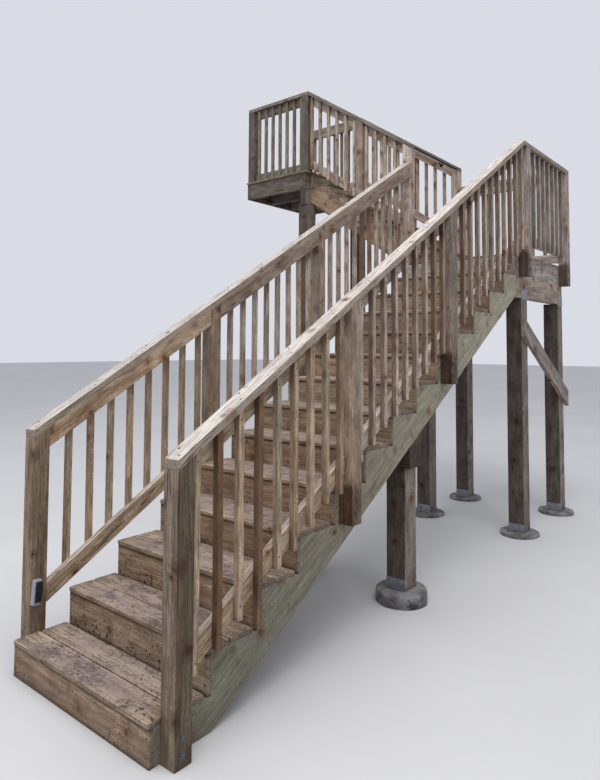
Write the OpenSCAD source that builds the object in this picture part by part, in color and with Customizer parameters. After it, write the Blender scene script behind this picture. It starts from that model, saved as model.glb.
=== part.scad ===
// Wooden deck stairs: a long straight flight up to a landing on heavy posts,
// then a short flight at a right angle up to a small balcony at a house wall.
// X runs up the long flight, Y runs from its open side towards the wall, Z is up.
// Sizes are in millimetres. The origin is on the floor under the middle of the whole.

/* [Long flight] */
// Height of one step of the long flight
rise = 178; // [160:1:190]
// Level distance from one riser face to the next
run = 298; // [280:1:320]
// Number of treads below the landing
tread_count = 13; // [11:1:15]
// Width over the two outer stringers
flight_w = 1100; // [1000:10:1400]

/* [Landing] */
// Length of the landing beyond the top riser of the long flight
landing_len = 1237; // [1200:1:1500]
// Distance from the landing's near edge to the short flight's near stringer
short_flight_offset = 173; // [130:1:200]
// Distance from the landing's near edge to the front post on the open side
front_post_offset = 110; // [60:1:200]
// Distance from the landing's near edge to the front post on the wall side
rear_post_offset = 190; // [60:1:260]
// Distance from the landing's far edge to the far post on the wall side
far_rear_post_inset = 39; // [0:1:100]

/* [Short flight] */
// Height of one step of the short flight
short_rise = 170.4; // [160:0.1:185]
// Level distance from one riser face to the next on the short flight
short_run = 255.7; // [245:0.1:280]
// Number of treads of the short flight
short_tread_count = 6; // [5:1:8]
// Width over the outer stringers of the short flight
short_flight_w = 994; // [900:1:1040]
// Distance from the landing's rear edge in to the first riser of the short flight
short_flight_setback = 198; // [120:1:260]

/* [Balcony] */
// Depth of the balcony from its top riser to the wall
balcony_depth = 954; // [800:1:1400]
// How far the balcony's side boards stand outside the short flight
balcony_side = 97; // [92:1:130]
// How far the deck boards run over the side boards
deck_overhang = 20; // [0:1:40]

/* [Lumber] */
// Thickness of the framing and rail boards
board_t = 38; // [32:1:45]
// Width of the boards used as rails and caps
rail_w = 89; // [75:1:100]
// Width of the boards used as joists, rims and landing beams
joist_w = 184; // [150:1:230]
// Width of the boards used in the cross beam and the brace
beam_w = 140; // [120:1:180]
// Width of a stringer board before its steps are cut
stringer_w = 286; // [260:1:300]
// Side of a square guard post
guard_post = 89; // [80:1:100]
// Side of a heavy square post
heavy_post = 140; // [120:1:160]
// Side of a square baluster
baluster = 32; // [28:1:38]
// Thickness of a riser board
riser_t = 19; // [15:1:25]
// Thickness of the tread and deck boards
deck_t = 25; // [22:1:32]
// Width of a tread or deck board
deck_w = 140; // [120:1:140]
// Gap between two neighbouring tread or deck boards
deck_gap = 6; // [3:0.5:8]
// Gap left between a tread and the riser behind it
back_gap = 18; // [6:1:26]
// How far the front edge of a tread stands out over the riser below it
tread_overhang = 6; // [0:1:12]

/* [Guards] */
// Height of the cap over the nosing line of the long flight and over the landing
guard_h = 985; // [900:5:1070]
// Height of the cap over the nosing line of the short flight and over the balcony
short_guard_h = 925; // [900:5:1070]
// Upright gap between a nosing line and the bottom rail
rail_gap = 30; // [15:1:60]
// Gap between the landing deck and the bottom rail on the open side
landing_rail_gap = 88; // [20:1:100]
// Gap between the landing deck and the bottom rail across the far end
landing_end_gap = 35; // [20:1:100]
// Gap between the balcony deck and its bottom rails
balcony_rail_gap = 15; // [10:1:80]
// Distance between baluster centres that the long flight aims at
baluster_pitch = 125; // [110:1:140]
// Distance between baluster centres that the balcony aims at
balcony_pitch = 112; // [105:1:140]
// From the lower post's face to the first baluster's centre
first_baluster = 32; // [20:1:60]
// The same on the wall side of the long flight
left_first_baluster = 138; // [20:1:160]
// From the last baluster's centre to the upper post's face
last_baluster = 68; // [20:1:90]
// First baluster of the short flight's lower section, from the landing post
short_first_baluster = 111; // [20:1:115]
// Last baluster of the short flight's sections, to the post above
short_last_baluster = 34; // [20:1:80]
// From the first riser to the near face of the first post on the open side
first_post_x = 58; // [20:1:100]
// From the first riser to the near face of the first post on the wall side
left_first_post_x = 81; // [20:1:100]
// How far the second post on the wall side stands past its step line
left_second_post_shift = 26; // [0:1:40]
// Height of a guard post's lower end over the stringer's lower edge
post_tail = 135; // [60:1:200]
// Distance from the landing's rear edge to the middle post of the short flight
short_mid_post = 585; // [520:1:640]

/* [Supports] */
// Distance from the first riser to the cross beam under the long flight
cross_beam_x = 2019; // [1500:1:2600]
// Number of boards side by side in the cross beam
cross_beam_plies = 4; // [3:1:4]
// How far the posts under the long flight stand in from its sides
flight_post_inset = 42; // [0:1:120]
// Upright distance from the underside of a landing beam to the brace's upper end
brace_drop = 176; // [130:1:300]
// How far the brace hangs down for each millimetre along it
brace_fall = 0.585; // [0.4:0.005:0.8]
// How far the brace runs past the far post
brace_tail = 45; // [20:1:200]
// Diameter of a round concrete pier
pier_d = 350; // [250:10:400]
// Height of the piers under the landing and the balcony
pier_h = 30; // [15:1:150]
// Height of the piers under the long flight
flight_pier_h = 85; // [30:1:150]
// Thickness of the steel in the post bases and straps
steel_t = 3; // [2:0.5:5]
// Height of the side tabs of a post base
base_tab_h = 75; // [40:1:120]
// Height of a strap that ties a post to its beam
strap_h = 90; // [80:1:160]
// How far a strap reaches down the post
strap_lap = 15; // [10:1:60]

/* [Handrail and light] */
// Outside diameter of the round handrail
handrail_d = 36; // [30:1:45]
// From the guard's inner face to the middle of the round handrail
handrail_off = 52; // [45:1:70]
// Upright distance from the cap's top down to the middle of the round handrail
handrail_drop = 30; // [10:1:60]
// Number of brackets under the round handrail
bracket_count = 3; // [2:1:5]
// Width of the step light
light_w = 44; // [40:1:85]
// Height of the step light
light_h = 130; // [100:1:180]
// Depth of the step light
light_d = 36; // [14:1:50]
// Height of the step light's lower edge over the first tread
light_over_tread = 142; // [60:1:250]
// How far the step light sits off the middle of its post, towards the foot
light_shift = 20; // [0:1:24]
// Lean of the step light, its top away from the foot, in degrees
light_lean = 4; // [0:0.5:8]

/* [Hidden] */
$fn = 64;

// Play between boards that meet inside one group
play = 0.4;

// Height that no guard reaches, for a rail that is not cut off level
no_limit = 1e6;

// From the front edge of a tread to the sawn face that its riser is nailed to
cut_x = tread_overhang + riser_t;

// Slope and nosing line of the long flight
slope = rise / run;
tilt = atan(slope);
function nosing(x) = rise + slope * x;
function cap_top(x) = nosing(x) + guard_h;
function under_stringer(x) = rise - deck_t + slope * (x - cut_x) - stringer_w / cos(tilt);
function under_cap(x) = cap_top(x) - board_t / cos(tilt);

// Landing
landing_x0 = tread_count * run;
landing_x1 = landing_x0 + landing_len;
landing_z = (tread_count + 1) * rise;
rim_top = landing_z - deck_t;
rim_low = rim_top - joist_w;
landing_beam_low = rim_low - joist_w;
landing_cap_top = landing_z + guard_h;
landing_under_cap = landing_cap_top - board_t;

// Short flight
short_slope = short_rise / short_run;
short_tilt = atan(short_slope);
short_x0 = landing_x0 + short_flight_offset;
short_x1 = short_x0 + short_flight_w;
short_y0 = flight_w - short_flight_setback;
function short_nosing(y) = landing_z + short_rise + short_slope * (y - short_y0);
function short_under_cap(y) = short_nosing(y) + short_guard_h - board_t / cos(short_tilt);
function short_under_stringer(y) =
    short_nosing(y) - deck_t - short_slope * cut_x - stringer_w / cos(short_tilt);

// Balcony
balcony_z = landing_z + (short_tread_count + 1) * short_rise;
balcony_y0 = short_y0 + short_tread_count * short_run;
balcony_y1 = balcony_y0 + balcony_depth;
balcony_x0 = short_x0 - balcony_side;
balcony_x1 = short_x1 + balcony_side;
balcony_rim_y = balcony_y0 + cut_x;
balcony_rim_top = balcony_z - deck_t;
balcony_rim_low = balcony_rim_top - joist_w;
balcony_beam_low = balcony_rim_low - joist_w;
balcony_cap_top = balcony_z + short_guard_h;

// Near faces of the guard posts on the open side and on the wall side of the long flight
right_post_x = [
    first_post_x,
    first_post_x + 4 * run,
    first_post_x + 8 * run,
    first_post_x + landing_x0,
    landing_x1 - guard_post
];
left_post_x = [
    left_first_post_x,
    left_first_post_x + 4 * run + left_second_post_shift,
    left_first_post_x + 8 * run,
    short_x0 - guard_post,
    short_x1
];

// Middle post of the short flight's guards, and the balcony's wall posts
short_mid_y = flight_w + short_mid_post;
wall_post_y = balcony_y1 - guard_post;

// Cross beam and posts under the long flight
cross_beam_w = cross_beam_plies * board_t + (cross_beam_plies - 1) * play;
cross_beam_top = under_stringer(cross_beam_x);
cross_beam_low = cross_beam_top - beam_w;
flight_post_x = cross_beam_x + (cross_beam_w - heavy_post) / 2;
flight_post_y = [flight_post_inset, flight_w - flight_post_inset - heavy_post];

// Lower corners of the heavy posts under the landing and under the balcony
landing_post_at = [
    [landing_x0 + front_post_offset, 0],
    [landing_x1 - heavy_post, 0],
    [landing_x0 + rear_post_offset, flight_w - heavy_post],
    [landing_x1 - far_rear_post_inset - heavy_post, flight_w - heavy_post]
];
balcony_post_y = balcony_rim_y + board_t - heavy_post / 2;
support_inset = 10;
balcony_post_at = [
    [balcony_x0 + support_inset, balcony_post_y],
    [balcony_x1 - support_inset - heavy_post, balcony_post_y]
];

// Brace on the open side, from below the first beam end to past the far post
brace_x0 = landing_post_at[0][0] - board_t / 2;
brace_x1 = landing_x1 + brace_tail;
brace_depth = beam_w / cos(atan(brace_fall));
brace_top = landing_beam_low - brace_drop;

// Extent of the whole, for the origin under its middle
far_pier_x = max(landing_post_at[1][0], balcony_post_at[1][0]) + (heavy_post + pier_d) / 2;
max_x = max(brace_x1, far_pier_x, balcony_x1 + deck_overhang, short_x1 + guard_post);
min_y = min(-guard_post, (heavy_post - pier_d) / 2);
centre = [max_x / 2, (min_y + balcony_y1) / 2];

// Colours of the lumber, steel and concrete
pale_pine = [0.80, 0.70, 0.54];
tan_pine = [0.70, 0.57, 0.41];
green_pine = [0.62, 0.60, 0.46];
brown_pine = [0.58, 0.45, 0.32];
olive_pine = [0.44, 0.42, 0.33];
zinc = [0.72, 0.74, 0.76];
concrete = [0.66, 0.65, 0.62];

// Moves what is drawn from the first riser's foot to the origin under the middle
module placed() {
    translate([-centre[0], -centre[1], 0]) children();
}

// A board with an outline in X and Z, and its thickness t along Y from y
module side_board(y, t, outline) {
    translate([0, y + t, 0]) rotate([90, 0, 0]) linear_extrude(t) polygon(outline);
}

// A board with an outline in Y and Z, and its thickness t along X from x
module cross_board(x, t, outline) {
    translate([x, 0, 0]) rotate([90, 0, 90]) linear_extrude(t) polygon(outline);
}

// Outline of a cut stringer: up the steps, down the plumb end, back along the
// lower edge to the level foot. base is the level it stands on.
function stringer_outline(start, step_run, step_rise, steps, base, end_low, foot_end) = concat(
    [for (i = [0 : steps - 1]) each [
        [start + cut_x + i * step_run, base + (i == 0 ? 0 : i * step_rise - deck_t)],
        [start + cut_x + i * step_run, base + (i + 1) * step_rise - deck_t]
    ]],
    [
        [start + steps * step_run + (base == 0 ? 0 : cut_x), base + steps * step_rise - deck_t],
        [start + steps * step_run + (base == 0 ? 0 : cut_x), end_low],
        [foot_end, base]
    ]
);

long_outline = stringer_outline(
    0, run, rise, tread_count, 0, under_stringer(landing_x0),
    cut_x + (stringer_w / cos(tilt) - rise + deck_t) / slope);

short_outline = stringer_outline(
    short_y0, short_run, short_rise, short_tread_count, landing_z,
    short_under_stringer(balcony_rim_y),
    short_y0 + cut_x + (stringer_w / cos(short_tilt) - short_rise + deck_t) / short_slope);

// The two boards of one tread, as start and width across the step
function tread_boards(step_run) = [
    [0, deck_w],
    [deck_w + deck_gap, min(deck_w, step_run + tread_overhang - back_gap - deck_w - deck_gap)]
];

// Deck boards that fill a depth, the last one ripped to what is left
function deck_boards(depth) = [
    for (s = [0 : deck_w + deck_gap : depth - deck_gap]) [s, min(deck_w, depth - s)]
];

// Parallel boards of one section of guard, drawn along X from 0 with its inner face at Y 0
// and its outside towards -Y: a top rail, a bottom rail and balusters on the outside
// of both. low and top are the rails' outer edges at the section's start, s their slope.
module guard_section(len, s, low, top, first, last, pitch, top_max = no_limit) {
    depth = rail_w / cos(atan(s));
    bays = max(1, round((len - first - last) / pitch));
    step = (len - first - last) / bays;
    bend = s > 0 ? min(len, (top_max - top) / s) : len;
    union() {
        side_board(-board_t, board_t, [
            [0, low], [len, low + s * len], [len, low + s * len + depth], [0, low + depth]
        ]);
        side_board(-board_t, board_t, concat(
            [[0, top - depth], [len, top + s * len - depth]],
            bend < len ? [[len, top_max]] : [],
            [[bend, top + s * bend], [0, top]]
        ));
        for (i = [0 : bays]) {
            mid = first + i * step;
            foot = low + s * mid;
            head = min(top + s * (mid - baluster / 2), top_max);
            translate([mid - baluster / 2, -board_t - baluster, foot])
                cube([baluster, baluster, head - foot]);
        }
    }
}

// One section on the open side of the long flight, between two posts
module right_section(a, b, top_max = no_limit) {
    x = right_post_x[a] + guard_post;
    translate([x, 0, 0])
        guard_section(right_post_x[b] - x, slope, nosing(x) + rail_gap, under_cap(x),
            first_baluster, last_baluster, baluster_pitch, top_max);
}

// One section on the wall side of the long flight, between two posts
module left_section(a, b) {
    x = left_post_x[a] + guard_post;
    translate([x, flight_w, 0]) mirror([0, 1, 0])
        guard_section(left_post_x[b] - x, slope, nosing(x) + rail_gap, under_cap(x),
            left_first_baluster, last_baluster, baluster_pitch);
}

// Turns a section to run along Y with its outside towards -X at the inner face x
module near_side(x, y) {
    translate([x, y, 0]) rotate([0, 0, 90]) mirror([0, 1, 0]) children();
}

// Turns a section to run along Y with its outside towards +X at the inner face x
module far_side(x, y) {
    translate([x, y, 0]) rotate([0, 0, 90]) children();
}

// One sloping section of the short flight, from y0 to y1
module short_section(y0, y1, first) {
    guard_section(y1 - y0, short_slope, short_nosing(y0) + rail_gap, short_under_cap(y0),
        first, short_last_baluster, baluster_pitch);
}

// A guard post of the long flight with its top cut to the slope of the cap
module sloped_post(x, y, foot) {
    side_board(y, guard_post, [
        [x, foot], [x + guard_post, foot],
        [x + guard_post, under_cap(x + guard_post)], [x, under_cap(x)]
    ]);
}

// A guard post with its top cut to the slope of the short flight's cap
module short_post(x, y, foot) {
    cross_board(x, guard_post, [
        [y, foot], [y + guard_post, foot],
        [y + guard_post, short_under_cap(y + guard_post)], [y, short_under_cap(y)]
    ]);
}

// A steel post base: a plate under the post and a tab up each side of it
module post_base(at, pier_top) {
    translate([at[0], at[1], pier_top]) {
        cube([heavy_post, heavy_post, steel_t]);
        for (x = [-steel_t, heavy_post])
            translate([x, 0, 0]) cube([steel_t, heavy_post, base_tab_h]);
    }
}

module right_stringer() {
    color(green_pine) placed() side_board(0, board_t, long_outline);
}

module middle_stringer() {
    color(green_pine) placed() side_board((flight_w - board_t) / 2, board_t, long_outline);
}

module left_stringer() {
    color(green_pine) placed() side_board(flight_w - board_t, board_t, long_outline);
}

module main_treads() {
    color(pale_pine) placed()
        for (i = [0 : tread_count - 1], b = tread_boards(run))
            translate([i * run + b[0], 0, (i + 1) * rise - deck_t])
                cube([b[1], flight_w, deck_t]);
}

module main_risers() {
    color(tan_pine) placed()
        for (i = [0 : tread_count - 1]) {
            low = i == 0 ? 0 : i * rise - deck_t;
            translate([i * run + tread_overhang, 0, low])
                cube([riser_t, flight_w, (i + 1) * rise - deck_t - low]);
        }
}

module right_posts() {
    color(tan_pine) placed() {
        for (i = [0 : 2]) {
            x = right_post_x[i];
            sloped_post(x, -guard_post, i == 0 ? 0 : under_stringer(x) + post_tail);
        }
        for (i = [3, 4])
            translate([right_post_x[i], -guard_post, rim_low])
                cube([guard_post, guard_post, landing_under_cap - rim_low]);
    }
}

module left_posts() {
    color(tan_pine) placed() {
        for (i = [0 : 2]) {
            x = left_post_x[i];
            sloped_post(x, flight_w, i == 0 ? 0 : under_stringer(x) + post_tail);
        }
        for (i = [3, 4]) short_post(left_post_x[i], flight_w, rim_low);
    }
}

module right_panel_1() {
    color(tan_pine) placed() right_section(0, 1);
}

module right_panel_2() {
    color(tan_pine) placed() right_section(1, 2);
}

module right_panel_3() {
    color(tan_pine) placed() right_section(2, 3, landing_under_cap);
}

module left_panel_1() {
    color(tan_pine) placed() left_section(0, 1);
}

module left_panel_2() {
    color(tan_pine) placed() left_section(1, 2);
}

module left_panel_3() {
    color(tan_pine) placed() left_section(2, 3);
}

// The sloping cap board and the level one beyond it meet in a mitre over the top riser
module right_cap() {
    x0 = right_post_x[0];
    x1 = right_post_x[4] + guard_post;
    mitre = (landing_under_cap - under_cap(0)) / slope;
    color(pale_pine) placed() {
        side_board(-guard_post, guard_post, [
            [x0, under_cap(x0)], [mitre, landing_under_cap],
            [landing_x0, landing_cap_top], [x0, cap_top(x0)]
        ]);
        side_board(-guard_post, guard_post, [
            [mitre + play, landing_under_cap], [x1, landing_under_cap],
            [x1, landing_cap_top], [landing_x0 + play, landing_cap_top]
        ]);
    }
}

module left_cap() {
    x0 = left_post_x[0];
    x1 = left_post_x[3];
    color(pale_pine) placed() side_board(flight_w, guard_post, [
        [x0, under_cap(x0)], [x1, under_cap(x1)], [x1, cap_top(x1)], [x0, cap_top(x0)]
    ]);
}

module landing_side_panel() {
    x = right_post_x[3] + guard_post;
    color(tan_pine) placed() translate([x, 0, 0])
        guard_section(right_post_x[4] - x, 0, landing_z + landing_rail_gap, landing_under_cap,
            first_baluster, last_baluster, baluster_pitch);
}

module landing_end_panel() {
    color(tan_pine) placed() far_side(landing_x1 - board_t - baluster, 0)
        guard_section(flight_w, 0, landing_z + landing_end_gap, landing_under_cap,
            first_baluster, last_baluster, baluster_pitch);
}

module landing_end_cap() {
    color(pale_pine) placed()
        translate([right_post_x[4], 0, landing_under_cap])
            cube([guard_post, flight_w, board_t]);
}

// Rims round the landing and joists across it
module landing_frame() {
    inner_len = landing_len - 2 * (board_t + play);
    inner_w = flight_w - 2 * (board_t + play);
    color(green_pine) placed() {
        for (x = [landing_x0, landing_x1 - board_t])
            translate([x, 0, rim_low]) cube([board_t, flight_w, joist_w]);
        for (y = [0, flight_w - board_t])
            translate([landing_x0 + board_t + play, y, rim_low])
                cube([inner_len, board_t, joist_w]);
        for (k = [1, 2])
            translate([landing_x0 + k * (landing_len - board_t) / 3, board_t + play, rim_low])
                cube([board_t, inner_w, joist_w]);
    }
}

module landing_deck() {
    color(pale_pine) placed()
        for (b = deck_boards(flight_w))
            translate([landing_x0, b[0], rim_top]) cube([landing_len, b[1], deck_t]);
}

// Doubled beams along both sides of the landing, and the board between them
// that carries the stringers' upper ends
module landing_beams() {
    pair = 2 * board_t + play;
    color(tan_pine) placed() {
        for (y = [0, board_t + play, flight_w - pair, flight_w - board_t])
            translate([landing_x0, y, landing_beam_low]) cube([landing_len, board_t, joist_w]);
        translate([landing_x0, pair + play, landing_beam_low])
            cube([board_t, flight_w - 2 * (pair + play), joist_w]);
    }
}

module landing_posts() {
    foot = pier_h + steel_t;
    color(olive_pine) placed()
        for (p = landing_post_at)
            translate([p[0], p[1], foot]) cube([heavy_post, heavy_post, landing_beam_low - foot]);
}

module landing_brace() {
    fall = brace_fall * (brace_x1 - brace_x0);
    color(tan_pine) placed() side_board(-board_t, board_t, [
        [brace_x0, brace_top - brace_depth], [brace_x1, brace_top - brace_depth - fall],
        [brace_x1, brace_top - fall], [brace_x0, brace_top]
    ]);
}

// Boards side by side, and a wedge on them that fills the gap under each stringer
module flight_beam() {
    wedge_x = cross_beam_x + play / slope;
    wedge_end = cross_beam_x + cross_beam_w;
    color(brown_pine) placed() {
        for (k = [0 : cross_beam_plies - 1])
            translate([cross_beam_x + k * (board_t + play), 0, cross_beam_low])
                cube([board_t, flight_w, beam_w]);
        for (y = [0, (flight_w - board_t) / 2, flight_w - board_t])
            side_board(y, board_t, [
                [wedge_x, cross_beam_top + play],
                [wedge_end, cross_beam_top + play],
                [wedge_end, under_stringer(wedge_end)]
            ]);
    }
}

module flight_posts() {
    foot = flight_pier_h + steel_t;
    color(olive_pine) placed()
        for (y = flight_post_y)
            translate([flight_post_x, y, foot])
                cube([heavy_post, heavy_post, cross_beam_low - foot]);
}

// Steel bases under all the heavy posts, and straps from the landing posts to their beams
module post_hardware() {
    strap_z = landing_beam_low - strap_lap;
    color(zinc) placed() {
        for (p = concat(landing_post_at, balcony_post_at)) post_base(p, pier_h);
        for (y = flight_post_y) post_base([flight_post_x, y], flight_pier_h);
        for (p = landing_post_at)
            translate([p[0], p[1] == 0 ? -steel_t : flight_w, strap_z])
                cube([heavy_post, steel_t, strap_h]);
    }
}

module footings() {
    middle = heavy_post / 2;
    color(concrete) placed() {
        for (p = concat(landing_post_at, balcony_post_at))
            translate([p[0] + middle, p[1] + middle, 0]) cylinder(d = pier_d, h = pier_h);
        for (y = flight_post_y)
            translate([flight_post_x + middle, y + middle, 0])
                cylinder(d = pier_d, h = flight_pier_h);
    }
}

module upper_stringers() {
    color(green_pine) placed()
        for (x = [short_x0, (short_x0 + short_x1 - board_t) / 2, short_x1 - board_t])
            cross_board(x, board_t, short_outline);
}

module upper_treads() {
    color(pale_pine) placed()
        for (i = [0 : short_tread_count - 1], b = tread_boards(short_run))
            translate([short_x0, short_y0 + i * short_run + b[0],
                       landing_z + (i + 1) * short_rise - deck_t])
                cube([short_flight_w, b[1], deck_t]);
}

module upper_risers() {
    color(tan_pine) placed()
        for (i = [0 : short_tread_count]) {
            low = landing_z + (i == 0 ? 0 : i * short_rise - deck_t);
            high = landing_z + (i + 1) * short_rise - deck_t;
            translate([short_x0, short_y0 + i * short_run + tread_overhang, low])
                cube([short_flight_w, riser_t, high - low]);
        }
}

// Middle posts of the short flight's guards, cut at the stringer's lower edge
module upper_posts() {
    color(brown_pine) placed()
        for (x = [short_x0 - guard_post, short_x1])
            short_post(x, short_mid_y, short_under_stringer(short_mid_y) + post_tail);
}

module upper_near_panel() {
    y = flight_w + guard_post;
    color(tan_pine) placed() {
        near_side(short_x0, y) short_section(y, short_mid_y, short_first_baluster);
        near_side(short_x0, short_mid_y + guard_post)
            short_section(short_mid_y + guard_post, balcony_y0, first_baluster);
    }
}

module upper_far_panel() {
    y = flight_w + guard_post;
    color(tan_pine) placed() {
        far_side(short_x1, y) short_section(y, short_mid_y, short_first_baluster);
        far_side(short_x1, short_mid_y + guard_post)
            short_section(short_mid_y + guard_post, balcony_y0, first_baluster);
    }
}

module upper_caps() {
    y0 = flight_w;
    y1 = balcony_y0 - play;
    color(pale_pine) placed()
        for (x = [short_x0 - guard_post, short_x1])
            cross_board(x, guard_post, [
                [y0, short_under_cap(y0)], [y1, short_under_cap(y1)],
                [y1, short_nosing(y1) + short_guard_h], [y0, short_nosing(y0) + short_guard_h]
            ]);
}

// Front rim, side rims, joists and the board on the wall
module balcony_frame() {
    side_y = balcony_rim_y + board_t + play;
    side_len = balcony_y1 - board_t - play - side_y;
    width = balcony_x1 - balcony_x0;
    color(green_pine) placed() {
        for (y = [balcony_rim_y, balcony_y1 - board_t])
            translate([balcony_x0, y, balcony_rim_low]) cube([width, board_t, joist_w]);
        for (k = [0 : 3])
            translate([balcony_x0 + k * (width - board_t) / 3, side_y, balcony_rim_low])
                cube([board_t, side_len, joist_w]);
    }
}

module balcony_deck() {
    color(pale_pine) placed()
        for (b = deck_boards(balcony_depth))
            translate([balcony_x0 - deck_overhang, balcony_y0 + b[0], balcony_rim_top])
                cube([balcony_x1 - balcony_x0 + 2 * deck_overhang, b[1], deck_t]);
}

module balcony_posts() {
    top = balcony_cap_top - board_t;
    color(brown_pine) placed()
        for (x = [short_x0 - guard_post, short_x1], y = [balcony_y0, wall_post_y])
            translate([x, y, balcony_z]) cube([guard_post, guard_post, top - balcony_z]);
}

// A level section of guard along one side of the balcony
module balcony_section() {
    guard_section(wall_post_y - balcony_y0 - guard_post, 0, balcony_z + balcony_rail_gap,
        balcony_cap_top - board_t, first_baluster, last_baluster, balcony_pitch);
}

module balcony_near_panel() {
    color(olive_pine) placed() near_side(short_x0, balcony_y0 + guard_post) balcony_section();
}

module balcony_far_panel() {
    color(olive_pine) placed() far_side(short_x1, balcony_y0 + guard_post) balcony_section();
}

module balcony_caps() {
    color(pale_pine) placed()
        for (x = [short_x0 - guard_post, short_x1])
            translate([x, balcony_y0, balcony_cap_top - board_t])
                cube([guard_post, balcony_depth, board_t]);
}

// Doubled beam under the balcony's front rim, and the heavy posts under its ends
module balcony_supports() {
    foot = pier_h + steel_t;
    color(olive_pine) placed() {
        for (y = [balcony_rim_y, balcony_rim_y + board_t + play])
            translate([balcony_x0, y, balcony_beam_low])
                cube([balcony_x1 - balcony_x0, board_t, joist_w]);
        for (p = balcony_post_at)
            translate([p[0], p[1], foot])
                cube([heavy_post, heavy_post, balcony_beam_low - play - foot]);
    }
}

// A rod that drops from under the handrail, bends and runs to the guard's inner face
module handrail_bracket(rod, drop, reach) {
    bend = 1.5 * rod;
    union() {
        translate([0, 0, bend]) cylinder(d = rod, h = drop - bend);
        translate([bend, 0, bend]) rotate([90, 0, 0]) rotate([0, 0, 180])
            rotate_extrude(angle = 90) translate([bend, 0]) circle(d = rod);
        translate([bend, 0, 0]) rotate([0, 90, 0]) cylinder(d = rod, h = reach - bend);
    }
}

// Round handrail along the inside of the far guard, with a ball end at each end
module black_handrail() {
    x = short_x1 - handrail_off;
    y0 = flight_w;
    y1 = balcony_y0 - guard_post;
    len = (y1 - y0) / cos(short_tilt);
    rod = handrail_d / 3;
    rod_top = -(handrail_d / 2 / cos(short_tilt) + short_slope * rod / 2 + play);
    rod_low = -handrail_d - rod;
    function mid_z(y) = short_nosing(y) + short_guard_h - handrail_drop;
    color([0.08, 0.08, 0.09]) placed() {
        translate([x, y0, mid_z(y0)]) rotate([short_tilt - 90, 0, 0]) union() {
            cylinder(d = handrail_d, h = len);
            for (z = [0, len]) translate([0, 0, z]) sphere(d = handrail_d);
        }
        for (k = [0 : bracket_count - 1]) {
            y = y0 + (k + 0.5) * (y1 - y0) / bracket_count;
            translate([x, y, mid_z(y) + rod_low])
                handrail_bracket(rod, rod_top - rod_low, handrail_off);
        }
    }
}

// Small lamp on the inner face of the first post on the wall side
module step_light() {
    x = left_post_x[0] + guard_post / 2 - light_shift;
    z = rise + light_over_tread + light_h / 2;
    color([0.92, 0.92, 0.90]) placed()
        translate([x, flight_w - light_d, z]) rotate([0, light_lean, 0])
            translate([-light_w / 2, 0, -light_h / 2]) cube([light_w, light_d, light_h]);
}

right_stringer();
middle_stringer();
left_stringer();
main_treads();
main_risers();
right_posts();
left_posts();
right_panel_1();
right_panel_2();
right_panel_3();
left_panel_1();
left_panel_2();
left_panel_3();
right_cap();
left_cap();
landing_side_panel();
landing_end_panel();
landing_end_cap();
landing_frame();
landing_deck();
landing_beams();
landing_posts();
landing_brace();
flight_beam();
flight_posts();
post_hardware();
footings();
upper_stringers();
upper_treads();
upper_risers();
upper_posts();
upper_near_panel();
upper_far_panel();
upper_caps();
balcony_frame();
balcony_deck();
balcony_posts();
balcony_near_panel();
balcony_far_panel();
balcony_caps();
balcony_supports();
black_handrail();
step_light();
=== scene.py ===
"""Wooden deck stairs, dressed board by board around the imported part.

Every board keeps the place and the size of its solid; this file gives it eased edges,
its own grain and tone, and the fasteners that hold it.
"""

import math

import bpy
import numpy as np
from mathutils import Matrix, Vector


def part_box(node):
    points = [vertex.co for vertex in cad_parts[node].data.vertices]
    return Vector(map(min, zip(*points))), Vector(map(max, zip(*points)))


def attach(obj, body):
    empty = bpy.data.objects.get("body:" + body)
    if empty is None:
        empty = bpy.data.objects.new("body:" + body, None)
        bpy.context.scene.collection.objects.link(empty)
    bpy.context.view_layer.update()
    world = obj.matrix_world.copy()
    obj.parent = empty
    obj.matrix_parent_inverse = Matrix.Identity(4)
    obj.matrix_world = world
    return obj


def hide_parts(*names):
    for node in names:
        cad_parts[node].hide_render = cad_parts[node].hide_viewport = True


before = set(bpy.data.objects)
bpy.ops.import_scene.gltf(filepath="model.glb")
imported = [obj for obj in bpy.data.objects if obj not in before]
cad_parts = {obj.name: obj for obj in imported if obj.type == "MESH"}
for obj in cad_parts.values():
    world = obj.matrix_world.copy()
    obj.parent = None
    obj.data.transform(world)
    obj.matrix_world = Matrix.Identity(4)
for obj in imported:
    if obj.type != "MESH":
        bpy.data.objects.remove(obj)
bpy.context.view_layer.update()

bl_info = {
    "name": "Wooden Deck Stairs",
    "version": (1, 0, 0),
    "blender": (4, 5, 0),
    "location": "3D View > Sidebar > Deck Stairs",
    "description": "Dresses the boards, posts, steel and footings of a set of deck stairs",
    "category": "Add Mesh",
}

BODY = "root"
SNAP = 2e-4  # levels that differ by less than this are one level
STEEL = "galvanised_steel"
MILLIMETRE = 0.001
RUN_X, RUN_Y = 0, 1  # the axis that a guard section goes along
THICK = 0.06  # a board thicker than this is a post, with the pith inside it
PLATE = 0.003  # thickness of the steel of the post bases
FULL_TURN = 2 * np.pi
GROUPS, FINISHES = {}, {}  # filled by make_finishes


# ---------------------------------------------------------------- settings


def number_setting(name, description, default, low, high, unit="NONE"):
    """A plain number that the user may change; the next three are of fixed kinds."""
    return bpy.props.FloatProperty(name=name, description=description, default=default,
                                   min=low, max=high, unit=unit)


def length_setting(name, description, default, low, high):
    return number_setting(name, description, default, low, high, "LENGTH")


def angle_setting(name, description, default):
    return bpy.props.FloatProperty(name=name, description=description, default=default,
                                   subtype="ANGLE")


def colour_setting(name, description, default):
    return bpy.props.FloatVectorProperty(name=name, description=description,
                                         default=default, subtype="COLOR", min=0.0, max=1.0)


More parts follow.
